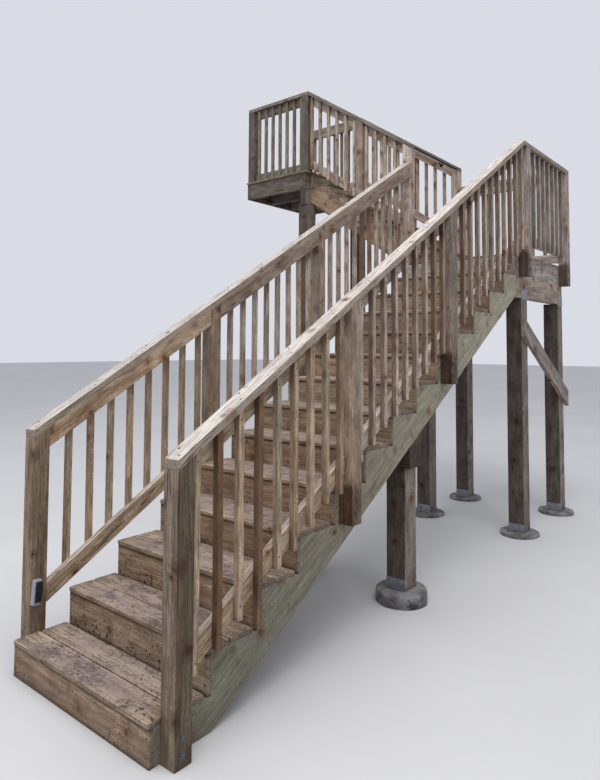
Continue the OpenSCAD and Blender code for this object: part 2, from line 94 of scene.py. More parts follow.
class DeckStairsBoards(bpy.types.PropertyGroup):
    ease: length_setting(
        "Board edge", "Radius of a framing board's eased edges", 0.003, 0.0005, 0.01)
    deck_ease: length_setting(
        "Deck edge", "Radius of the rounded edges of tread and deck boards",
        0.0065, 0.001, 0.012)
    sway: length_setting(
        "Baluster sway", "How far a baluster's foot may stand out of plumb",
        0.004, 0.0, 0.01)
    ragged: length_setting(
        "Baluster ends", "How unevenly the balusters are cut to length", 0.016, 0.0, 0.04)


class DeckStairsFinish(bpy.types.PropertyGroup):
    early_wood: colour_setting("Early wood", "Wood between the rings", (0.355, 0.262, 0.18))
    late_wood: colour_setting("Late wood", "Dark wood of the rings", (0.165, 0.093, 0.052))
    pale_wood: colour_setting(
        "Pale streaks", "Palest streaks along a board", (0.47, 0.395, 0.31))
    green_wood: colour_setting(
        "Green tint", "Tint that the preservative leaves", (0.235, 0.24, 0.175))
    brown_wood: colour_setting(
        "Brown boards", "Colour of the darkest boards", (0.10, 0.05, 0.027))
    bleached_wood: colour_setting(
        "Bleached wood", "What weather makes of wood that faces up", (0.60, 0.565, 0.53))
    grey_wood: colour_setting(
        "Grey wood", "What weather makes of wood that faces sideways",
        (0.292, 0.275, 0.272))
    knot_wood: colour_setting("Knots", "Colour of the knots", (0.045, 0.023, 0.014))
    mud: colour_setting("Mud", "Colour of the trodden-in mud", (0.095, 0.07, 0.073))
    dust: colour_setting(
        "Dried mud", "Thin film of dried mud on the treads", (0.33, 0.265, 0.25))
    ring_spacing: length_setting(
        "Ring spacing", "Distance between two growth rings", 0.0055, 0.002, 0.02)


class DeckStairsFasteners(bpy.types.PropertyGroup):
    screw_d: length_setting(
        "Screw head", "Diameter of a deck screw's head", 0.009, 0.004, 0.015)
    bolt_d: length_setting(
        "Bolt head", "Distance across a lag bolt's head", 0.019, 0.01, 0.03)
    washer_d: length_setting(
        "Washer", "Diameter of the washer under a lag bolt", 0.034, 0.015, 0.05)
    edge_gap: length_setting(
        "Screw line", "Distance from a board's end to its screws", 0.019, 0.01, 0.04)


class DeckStairsStage(bpy.types.PropertyGroup):
    floor: colour_setting("Floor", "Colour of the plain floor", (0.56, 0.56, 0.565))
    sky: number_setting("Sky", "Brightness of the even light all round", 0.78, 0.0, 5.0)
    key: number_setting(
        "Key light", "Power of the large soft light overhead", 1000.0, 0.0, 5000.0, "POWER")
    fill: number_setting(
        "Fill light", "Power of the soft light beside the viewer",
        45.0, 0.0, 5000.0, "POWER")
    eye: bpy.props.FloatVectorProperty(
        name="Viewpoint", description="Place of the camera", subtype="TRANSLATION",
        default=(-4.1784, -3.7041, 1.6435), unit="LENGTH")
    heading: angle_setting(
        "Heading", "Direction of view, from the long flight's run", 0.69506)
    pitch: angle_setting("Pitch", "How far the camera looks up", 0.05046)
    roll: angle_setting("Roll", "How far the camera leans", 0.00454)
    lens: number_setting(
        "Lens", "Focal length for a 36 mm sensor along the frame's height",
        29.009, 10.0, 100.0)
    drop: number_setting(
        "Shift", "How far the frame lies below the lens axis", -0.09455, -0.5, 0.5)


# ---------------------------------------------------------------- reading the frame


def solids(node):
    """Each solid of a node as the array of its corner points. Corners of the loose
    triangles that lie in one place are one point, and the solids are the groups of
    points that triangles join."""
    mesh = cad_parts[node].data
    places = np.empty(len(mesh.vertices) * 3, np.float32)
    mesh.vertices.foreach_get("co", places)
    corners = np.empty(len(mesh.loops), np.int32)
    mesh.loops.foreach_get("vertex_index", corners)
    points, same = np.unique(
        np.round(places.reshape(-1, 3).astype(float), 5), axis=0, return_inverse=True)
    triangles = same.ravel()[corners].reshape(-1, 3)
    label = np.arange(len(points))
    while True:
        lowest = label.copy()
        np.minimum.at(lowest, triangles.ravel(), np.repeat(label[triangles].min(1), 3))
        if (lowest == label).all():
            break
        label = lowest
    return [points[label == one] for one in np.unique(label)]


def flat_axes(axis):
    """The two axes of the plane square to an axis."""
    return [(axis + 1) % 3, (axis + 2) % 3]


def anticlockwise(outline):
    """The outline, turned round if its signed area is below nought."""
    nxt = np.roll(outline, -1, 0)
    area = (outline[:, 0] * nxt[:, 1] - outline[:, 1] * nxt[:, 0]).sum()
    return outline if area > 0 else outline[::-1]


def in_turn(points):
    """The corners of an outline in order. A plain board's go round their middle. A cut
    stringer's go up the steps by their distance along its run, and back along the two
    corners of its lower edge."""
    if len(points) <= 6:
        arm = points - points.mean(0)
        return anticlockwise(points[np.argsort(np.arctan2(arm[:, 1], arm[:, 0]))])
    run = np.ptp(points, axis=0)
    run /= np.linalg.norm(run)
    along = points @ run
    height = points @ np.array([-run[1], run[0]])
    side = 1 if height.max() - np.median(height) > np.median(height) - height.min() else -1
    order = np.argsort(-side * height)
    lower, steps = order[:2], order[2:]
    steps, lower = steps[np.argsort(along[steps])], lower[np.argsort(-along[lower])]
    return anticlockwise(points[np.concatenate([steps, lower])])


def as_prism(points):
    """A straight board as (axis, low, high, outline): of the axes on which both of its
    ends have the same outline, the shortest."""
    for axis in np.argsort(np.ptp(points, axis=0)):
        flat = flat_axes(axis)
        low, high = points[:, axis].min(), points[:, axis].max()
        near = points[np.abs(points[:, axis] - low) < SNAP][:, flat]
        far = points[np.abs(points[:, axis] - high) < SNAP][:, flat]
        if len(near) != len(far) or len(near) * 2 != len(points):
            continue
        near, far = (p[np.lexsort(np.round(p / SNAP).T)] for p in (near, far))
        if np.allclose(near, far, atol=SNAP):
            return int(axis), low, high, in_turn(near)
    raise ValueError("a solid is no straight board")


def boards_in(node):
    """The boards of a node, in order up the part: by height, then along X and Y."""
    found = [as_prism(points) for points in solids(node)]

    def place(board):
        axis, low, high, outline = board
        middle = np.empty(3)
        middle[axis] = (low + high) / 2
        middle[flat_axes(axis)] = outline.mean(0)
        return tuple(np.round(middle[[2, 0, 1]], 3))

    return sorted(found, key=place)


def panels_in(node, run, outside):
    """The boards of a guard section, read from its two faces. run is the axis it goes
    along, and outside is the sign of the axis across it on the balusters' side.
    Returns the rails, and the balusters with the first at the low end."""
    across = 1 - run
    rails, balusters = [], []
    for points in solids(node):
        inner = (points[:, across] * outside).min() * outside
        outer = (points[:, across] * outside).max() * outside
        faces = points[np.abs(points[:, across] - outer) < SNAP]
        faces = faces[np.lexsort((faces[:, 2], np.round(faces[:, run], 4)))]
        faces = faces.reshape(-1, 4, 3)
        width = np.ptp(faces[0][:, run])
        for face in faces:
            balusters.append(upright(face, across, outer, outer - outside * width))
        rail = points[np.abs(points[:, across] - inner) < SNAP]
        ends = rail[np.abs(rail[:, run] - rail[:, run].min()) < SNAP]
        split = np.sort(ends[:, 2])[1:3].mean()
        slope = slope_of(rail, run)
        above = rail[:, 2] - slope * (rail[:, run] - rail[:, run].min()) > split
        back = outer - outside * width
        for part in (rail[~above], rail[above]):
            rails.append(upright(part, across, inner, back))
    return rails, balusters


def slope_of(points, run):
    """Rise over run of a section's lowest edge, from its lowest corner at each end."""
    first, last = (points[np.lexsort((points[:, 2], way * np.round(points[:, run], 4)))[0]]
                   for way in (1, -1))
    return (last[2] - first[2]) / (last[run] - first[run])


def upright(face, across, one, other):
    """A board from its face in an upright plane, between two levels across the plane."""
    return across, min(one, other), max(one, other), in_turn(face[:, flat_axes(across)])


# ---------------------------------------------------------------- surfaces


class Surface:
    """Points, faces and point values of one piece, gathered board by board."""

    def __init__(self):
        self.points, self.faces, self.values, self.count = [], [], {}, 0

    def add(self, points, faces, **values):
        self.points.append(points)
        self.faces += [tuple(int(i) + self.count for i in face) for face in faces]
        for name, value in values.items():
            filled = np.broadcast_to(value, (len(points), 3))
            self.values.setdefault(name, []).append(filled)
        self.count += len(points)

    def finish(self, name, finish, slot, replaced=(), smooth=False):
        """Makes the object with its finish, hangs it on the body and hides the parts that
        it replaces.
        """
        mesh = bpy.data.meshes.new(name)
        mesh.from_pydata(np.concatenate(self.points).tolist(), [], self.faces)
        for key, value in self.values.items():
            attribute = mesh.attributes.new(key, "FLOAT_VECTOR", "POINT")
            attribute.data.foreach_set("vector", np.concatenate(value).astype("f").ravel())
        mesh.polygons.foreach_set("use_smooth", [smooth] * len(mesh.polygons))
        mesh.materials.append(FINISHES[finish])
        mesh.validate()
        piece = bpy.data.objects.new(name, mesh)
        bpy.context.scene.collection.objects.link(piece)
        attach(piece, BODY)
        if replaced:
            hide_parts(*replaced)


def banded(rows, columns):
    """Quads between the rows of a closed tube of points, and its two end faces."""
    index = np.arange(rows * columns).reshape(rows, columns)
    turned = np.roll(index, -1, 1)
    quads = np.stack([index[:-1], turned[:-1], turned[1:], index[1:]], -1).reshape(-1, 4)
    return list(quads) + [index[0][::-1], index[-1]]


def eased_prism(board, ease, arc=3):
    """A board's points and faces. At an angle a from 10 to 90 degrees its outline is
    drawn in by ease x (1 - sin a) at a depth of ease x (1 - cos a) under each face.
    Each outward corner is an arc of the same radius, and an inward one stays sharp. An
    arc has as many points as arc says."""
    axis, low, high, outline = board
    into = outline - np.roll(outline, 1, 0)
    into /= np.linalg.norm(into, axis=1)[:, None]
    out = np.roll(into, -1, 0)
    normal_in = np.stack([-into[:, 1], into[:, 0]], 1)
    normal_out = np.stack([-out[:, 1], out[:, 0]], 1)
    corner = (normal_in + normal_out) / (1 + (normal_in * normal_out).sum(1))[:, None]
    convex = (into[:, 0] * out[:, 1] - into[:, 1] * out[:, 0] > 0)[:, None, None]
    part = np.linspace(0, 1, arc)[None, :, None]
    before, after = np.clip(1 - 2 * part, 0, 1), np.clip(2 * part - 1, 0, 1)
    turn = normal_in[:, None] * (1 - part) + normal_out[:, None] * part
    turn /= np.linalg.norm(turn, axis=2)[:, :, None]
    centre = (outline + ease * corner)[:, None]
    shift = ease * (-into[:, None] * before + out[:, None] * after)
    bend = (normal_in[:, None] * before + corner[:, None] * (1 - np.abs(2 * part - 1))
            + normal_out[:, None] * after)
    angles = np.radians(np.linspace(10, 90, arc))
    insets, depths = ease * (1 - np.sin(angles)), ease * (1 - np.cos(angles))
    rings = [np.where(convex, centre - (ease - inset) * turn,
                      outline[:, None] + shift + inset * bend).reshape(-1, 2)
             for inset in insets]
    rings = np.stack(rings + rings[::-1])
    levels = np.concatenate([low + depths, high - depths[::-1]])
    points = np.empty(rings.shape[:2] + (3,))
    points[..., flat_axes(axis)] = rings
    points[..., axis] = levels[:, None]
    return points.reshape(-1, 3), banded(*rings.shape[:2])


def grain_values(board, points, rng):
    """How a board lies in its log: spot is the place along, across and through it,
    size its three sizes, and grain the place seen from a random start along the trunk
    and from the pith, which lies beside a thin board and near the heart of a post."""
    trunk, aside = 60.0, 0.55  # metres of trunk, and widths of the board
    axis, outline = board[0], board[3]
    edges = np.roll(outline, -1, 0) - outline
    lengths = np.linalg.norm(edges, axis=1)
    direction = edges[lengths.argmax()] / lengths.max()
    direction *= np.sign(direction[np.abs(direction).argmax()])
    lie = np.zeros((3, 3))
    lie[:2, flat_axes(axis)] = direction, [-direction[1], direction[0]]
    lie[2, axis] = 1
    spot = points @ lie.T
    size = np.ptp(spot, axis=0)
    if size[2] > size[1]:
        spot, size = spot[:, [0, 2, 1]], size[[0, 2, 1]]
    spot = spot - (spot.min(0) + size * [0, 0.5, 0.5])
    if size[2] > THICK:
        pith = rng.uniform(-aside, aside, 2) * size[1]
    else:
        beyond = size[2] / 2 + rng.uniform(0.004, 0.06)
        pith = [rng.uniform(-aside, aside) * size[1], rng.choice([-1, 1]) * beyond]
    grain = spot - [rng.uniform(-trunk, trunk), *pith]
    return {"spot": spot, "size": size, "grain": grain}


def tones(rng, count, light=0.10, green=0.5, brown=0.12, brown_share=0.0):
    """Lightness, greenness and brownness of each board of a piece. light, green and
    brown are how far they stray, and brown_share is the share of dark brown boards."""
    tone = np.stack([1 + rng.uniform(-light, light, count), rng.uniform(0, green, count),
                     rng.uniform(0, brown, count)], 1)
    dark = rng.uniform(0, 1, count) < brown_share
    tone[dark, 2] = rng.uniform(0.45, 0.95, dark.sum())
    return tone


def dressed(node, boards, tone, ease, finish, slot, seed, lee=None):
    """A node's piece from its boards, each with its own tone and its own place in a log.
    lee gives the side of a board that is drawn darker, as X, Y and an amount, for a board's
    number or for all the others: partly damp wood, partly painted shade where the light is
    kept off that side."""
    surface = Surface()
    rng = np.random.default_rng(seed + 500)  # apart from the draws of the tones
    lee = lee or {}
    for index, (board, shade) in enumerate(zip(boards, tone)):
        points, faces = eased_prism(board, ease)
        side = lee.get(index, lee.get("others", (0.0, 0.0, 0.0)))
        surface.add(points, faces, tone=shade, lee=side, **grain_values(board, points, rng))
    surface.finish(node + "_boards", finish, slot, (node,))


def circled(side, other, sides, spin=0.0):
    """Unit circles: cos a times one vector and sin a times the other, for each pair."""
    angle = np.atleast_2d(np.arange(sides) / sides * FULL_TURN + spin)[..., None]
    return np.cos(angle) * side[:, None] + np.sin(angle) * other[:, None]


def turned(profile, sides, places, normals, spin):
    """Small round or many-sided heads, all at once: the profile's (radius, height) pairs
    go round the normal at each place. Points are (head, ring, side, xyz)."""
    places, normals = np.atleast_2d(places), np.atleast_2d(normals).astype(float)
    normals /= np.linalg.norm(normals, axis=1)[:, None]
    helper = np.where(np.abs(normals[:, 2:]) < 0.9, [[0, 0, 1.0]], [[1.0, 0, 0]])
    side = np.cross(helper, normals)
    side /= np.linalg.norm(side, axis=1)[:, None]
    other = np.cross(normals, side)
    ring = circled(side, other, sides, np.atleast_1d(spin)[:, None])
    radius, height = np.array(profile).T
    return (places[:, None, None] + radius[None, :, None, None] * ring[:, None]
            + height[None, :, None, None] * normals[:, None, None])


def add_heads(surface, profile, sides, places, normals, rng):
    """Adds a head at each place, turned by chance about its own axis."""
    places = np.atleast_2d(places)
    normals = np.broadcast_to(normals, places.shape)
    heads = turned(profile, sides, places, normals, rng.uniform(0, FULL_TURN, len(places)))
    faces = banded(len(profile), sides)
    for head in heads:
        surface.add(head.reshape(-1, 3), faces)


def swept(path, radius, sides):
    """A round tube: a circle square to the path at each of its points. The tube's side
    vector is the same all along, since each path here lies in one upright plane."""
    heading = np.gradient(path, axis=0)
    heading /= np.linalg.norm(heading, axis=1)[:, None]
    plane = np.cross(path[-1] - path[0], [0, 0, 1.0])
    side = np.broadcast_to(plane / np.linalg.norm(plane), path.shape)
    other = np.cross(heading, side)
    radius = np.broadcast_to(radius, len(path))[:, None, None]
    ring = circled(side, other, sides)
    return (path[:, None] + radius * ring).reshape(-1, 3), banded(len(path), sides)


# ---------------------------------------------------------------- materials


KNOT_CELLS = 8.5  # cells to the metre of the pattern that places the knots
PLANER_RIDGES = 520.0  # the planer's ridges across a board, in radians to the metre
RISE = 0.178  # one step of the long flight
END_GRAIN, SAWN_END = (0.12, 0.085, 0.06), (0.175, 0.145, 0.12)
# DAMP_AND_SHADE_TINT darkens one side of a board: damp wood, and painted shade.
# RUBBED_AND_HIGHLIGHT_TINT lightens the long edges: rubbed wear, and a painted highlight.
DAMP_AND_SHADE_TINT, RUBBED_AND_HIGHLIGHT_TINT = (0.33, 0.295, 0.265), (1.7, 1.65, 1.6)
SOAKED_LOW_TINT, SOAKED_HIGH_TINT = (0.27, 0.2, 0.145), (0.27, 0.23, 0.22)
# JOINT_SHADOW is painted shadow along a riser's long edges, under a nosing and at the joint
# below; DAMP_DARK is damp rising from the floor.
JOINT_SHADOW, DAMP_DARK = (0.02, 0.014, 0.012), (0.085, 0.06, 0.045)
SPECK_DARK = (0.022, 0.016, 0.015)


class Wires:
    """Short ways to add and link the nodes of one tree."""

    def __init__(self, tree):
        self.tree = tree

    def add(self, kind, inputs=(), **options):
        node = self.tree.nodes.new("ShaderNode" + kind)
        for name, value in options.items():
            setattr(node, name, value)
        for key, value in dict(inputs).items():
            if isinstance(value, bpy.types.NodeSocket):
                self.tree.links.new(value, node.inputs[key])
            else:
                node.inputs[key].default_value = value
        return node

    def math(self, operation, a, b=0.0, c=0.0, clamp=False):
        node = self.add("Math", {0: a, 1: b, 2: c}, operation=operation, use_clamp=clamp)
        return node.outputs[0]

    def plus(self, a, b):
        return self.math("ADD", a, b)

    def minus(self, a, b):
        return self.math("SUBTRACT", a, b)

    def times(self, a, b, clamp=False):
        return self.math("MULTIPLY", a, b, clamp=clamp)

    def split(self, vector):
        return self.add("SeparateXYZ", {0: vector}).outputs

    def place(self):
        return self.add("TexCoord").outputs["Object"]

    def normal(self):
        return self.add("NewGeometry").outputs["Normal"]

    def attribute(self, name):
        return self.add("Attribute", attribute_name=name).outputs["Vector"]

    def noise(self, vector, scale, detail=2.0, roughness=0.5):
        """Noise at one scale, or at three, one for each part of the vector."""
        if isinstance(scale, tuple):
            vector = self.add("VectorMath", {0: vector, 1: scale}, operation="MULTIPLY")
            vector, scale = vector.outputs[0], 1.0
        node = self.add("TexNoise", {"Vector": vector, "Scale": scale, "Detail": detail,
                                     "Roughness": roughness})
        return node.outputs["Fac"]

    def cells(self, vector, scale):
        return self.add("TexVoronoi", {"Vector": vector, "Scale": scale}).outputs

    def ramp(self, value, low, high, start=0.0, end=1.0):
        node = self.add("MapRange", {0: value, 1: low, 2: high, 3: start, 4: end},
                        interpolation_type="SMOOTHSTEP")
        return node.outputs[0]

    def mix(self, factor, a, b, blend="MIX"):
        a, b = (one if isinstance(one, bpy.types.NodeSocket) else (*one, 1.0)
                for one in (a, b))
        node = self.add("Mix", {0: factor, 6: a, 7: b}, data_type="RGBA", blend_type=blend)
        return node.outputs[2]

    def tinted(self, colour, tint):
        return self.mix(1.0, colour, tint, "MULTIPLY")

    def coated(self, colour, *coats):
        """The colour under coats of (colour, mask), or of (colour, mask, share)."""
        for coat, mask, *share in coats:
            colour = self.mix(self.times(mask, *share) if share else mask, colour, coat)
        return colour

    def grey(self, value):
        return self.add("CombineColor", {0: value, 1: value, 2: value}).outputs[0]

    def put_out(self, values):
        """Ends a node group with an output for each value, and returns its tree."""
        for label in values:
            self.tree.interface.new_socket(
                label, in_out="OUTPUT", socket_type="NodeSocketFloat")
        leave = self.tree.nodes.new("NodeGroupOutput")
        for label, value in values.items():
            self.tree.links.new(value, leave.inputs[label])
        return self.tree


def new_group(name, **inputs):
    """An empty node group with an input for each number, as (wires, input sockets)."""
    group = bpy.data.node_groups.new(name, "ShaderNodeTree")
    for label, default in inputs.items():
        socket = group.interface.new_socket(
            label.replace("_", " "), in_out="INPUT", socket_type="NodeSocketFloat")
        socket.default_value = default
    return Wires(group), group.nodes.new("NodeGroupInput").outputs


def grain_group(finish):
    """Growth rings, fibres, streaks, stains and knots of a board. A ring is where the
    distance from the pith, which wanders slowly along the trunk and swells round each
    knot, passes a whole number of ring spacings. A crack follows one level of a slow
    noise, so it runs along the board. The three scales of a noise are along, across and
    through the board, in waves to the metre."""
    w, inp = new_group("board grain", Spacing=finish.ring_spacing, Knots=1.0)
    grain = w.attribute("grain")
    cells = w.cells(grain, KNOT_CELLS)
    kind = w.split(cells["Color"])[0]
    reach = w.plus(w.math("DIVIDE", cells["Distance"], KNOT_CELLS),
                   w.math("MULTIPLY_ADD", w.noise(grain, 60.0), 0.008, -0.004))
    radius = w.times(w.ramp(kind, 0.1, 1.0, 0.003, 0.023), inp["Knots"])
    outwards = w.math("DIVIDE", reach, radius)
    swell = w.ramp(reach, 0.0, 0.07, 0.016, 0.0)
    legs = []
    for part, scale in zip(w.split(grain)[1:], (1.0, 1.37)):
        way = w.add("VectorMath", {0: grain, 1: (0.7, 0.0, 0.0)}, operation="MULTIPLY")
        wander = w.math("MULTIPLY_ADD", w.noise(way.outputs[0], scale), 0.06, -0.03)
        legs.append(w.math("POWER", w.plus(part, wander), 2.0))
    flutter = w.times(w.noise(grain, (2.2, 30.0, 30.0)), 0.006)
    distance = w.plus(w.plus(w.math("SQRT", w.plus(*legs)), flutter), swell)
    phase = w.math("FRACT", w.math("DIVIDE", distance, inp["Spacing"]))
    level = w.math("ABSOLUTE", w.minus(w.noise(grain, (0.5, 19.0, 19.0), 1.0), 0.5))
    broken = w.ramp(w.noise(grain, (3.1, 9.0, 9.0)), 0.47, 0.55)
    return w.put_out({
        "Rings": w.times(w.ramp(phase, 0.25, 0.85), w.ramp(phase, 1.0, 0.92)),
        "Fibre": w.noise(grain, (5.0, 170.0, 170.0), 3.0, 0.65),
        "Streaks": w.noise(grain, (0.9, 42.0, 42.0), 4.0, 0.62),
        "Bands": w.noise(grain, (0.45, 15.0, 15.0)),
        "Stain": w.noise(grain, (2.6, 13.0, 13.0), 5.0, 0.62),
        "Cloud": w.noise(grain, (6.0, 17.0, 17.0), 3.0, 0.6),
        "Fleck": w.ramp(w.noise(grain, (22.0, 210.0, 210.0), 1.0), 0.62, 0.70),
        "Crack": w.times(w.ramp(level, 0.0, 0.007, 1.0, 0.0), broken),
        "Knot": w.minus(1.0, w.ramp(outwards, 0.7, 1.0)),
        "Halo": w.minus(1.0, w.ramp(outwards, 0.9, 2.8)),
        "Kind": kind,
    })


def edge_group():
    """Masks of a board's long edges, of the stretch near each end, of the sawn ends and
    of what lies well inward from them, and the distance from its lower end."""
    w, inp = new_group("board edges", Edge_width=0.006, End_width=0.03)
    spot, size = (w.split(w.attribute(name)) for name in ("spot", "size"))
    rims = [w.minus(w.times(size[i], 0.5), w.math("ABSOLUTE", spot[i])) for i in (1, 2)]
    left = w.math("MINIMUM", spot[0], w.minus(size[0], spot[0]))
    return w.put_out({
        "Edge": w.ramp(w.math("MAXIMUM", *rims), 0.0, inp["Edge width"], 1.0, 0.0),
        "End": w.ramp(left, 0.0, inp["End width"], 1.0, 0.0),
        "Cut": w.ramp(left, 0.0006, 0.0016, 1.0, 0.0),
        "Foot": spot[0],
        "Inward": w.ramp(left, 0.06, 0.22),
    })


def weather_group():
    """Which way a face looks: up, towards the side that the board's lee attribute names,
    which is drawn darker as damp and as painted shade, and towards the foot of the long
    flight, where a post's damp foot gets more painted shade."""
    w, _ = new_group("weather side")
    x, y, z = w.split(w.normal())
    lee = w.split(w.attribute("lee"))
    facing = w.plus(w.times(x, lee[0]), w.times(y, lee[1]))
    return w.put_out({
        "Up": w.ramp(z, 0.3, 0.75),
        "Damp_and_shade": w.times(w.ramp(facing, 0.3, 0.8), lee[2]),
        "Front": w.ramp(x, -0.3, -0.8, 0.0, 1.0),
    })


def dirt_group():
    """Mud trodden into what faces up, with a thin film round it, specks that are thrown
    on what is near the floor and lie thickest low on each riser, and the dark damp that
    creeps up from the floor."""
    w, inp = new_group("trodden dirt", Mud=0.5, Splash=0.5)
    place = w.place()
    height = w.split(place)[2]
    up = w.ramp(w.split(w.normal())[2], 0.5, 0.9)
    smear = w.noise(place, (7.0, 3.0, 4.0), 6.0, 0.72)
    scuff = w.noise(place, (60.0, 26.0, 40.0), 3.0, 0.7)
    low = w.ramp(height, 0.1, 2.0, 1.0, 0.4)
    patch = w.times(w.ramp(smear, 0.49, 0.57), w.ramp(scuff, 0.36, 0.58, 0.2, 1.0))
    film = w.times(w.ramp(smear, 0.30, 0.52), w.ramp(scuff, 0.25, 0.6, 0.45, 1.0))
    clumps = w.ramp(w.noise(place, 4.5), 0.38, 0.58, 0.2, 1.0)
    blobs = w.ramp(w.noise(place, 52.0, 3.0, 0.62), 0.58, 0.62)
    grains = w.ramp(w.noise(place, 130.0, 1.0), 0.66, 0.70)
    near = w.times(w.ramp(height, 0.15, 1.3, 1.0, 0.16), inp["Splash"])
    specks = w.times(w.times(w.math("MAXIMUM", blobs, grains), clumps), near)
    step = w.math("FRACT", w.math("DIVIDE", w.plus(height, 0.01), RISE))
    gathered = w.times(w.ramp(step, 0.06, 0.7, 1.5, 0.5), w.ramp(up, 0.0, 1.0, 1.0, 0.6))
    creep = w.plus(height, w.times(w.noise(place, 9.0, 3.0), 0.14))
    return w.put_out({
        "Trodden": w.times(w.times(patch, w.times(up, low)), inp["Mud"]),
        "Film": w.times(w.times(film, up), inp["Mud"]),
        "Specks": w.times(specks, gathered, clamp=True),
        "Damp": w.times(w.ramp(creep, 0.06, 0.26, 1.0, 0.0), inp["Splash"]),
    })


def placed_group(w, tree, **values):
    node = w.add("Group")
    node.node_tree = tree
    for label, value in values.items():
        node.inputs[label.replace("_", " ")].default_value = value
    return node.outputs


def new_material(name):
    """A material with a bare Principled shader, as (material, wires, shader)."""
    material = bpy.data.materials.new(name)
    material.use_nodes = True
    return material, Wires(material.node_tree), material.node_tree.nodes["Principled BSDF"]


def painted(w, shader, colour, rough, height=None, depth=0.0):
    """Gives the shader its colour and roughness, and a normal from a height that is in
    parts of depth."""
    values = {"Base Color": colour, "Roughness": rough}
    if height is not None:
        values["Normal"] = w.add("Bump", {"Height": height, "Distance": depth}).outputs[0]
    for label, value in values.items():
        w.tree.links.new(value, shader.inputs[label])


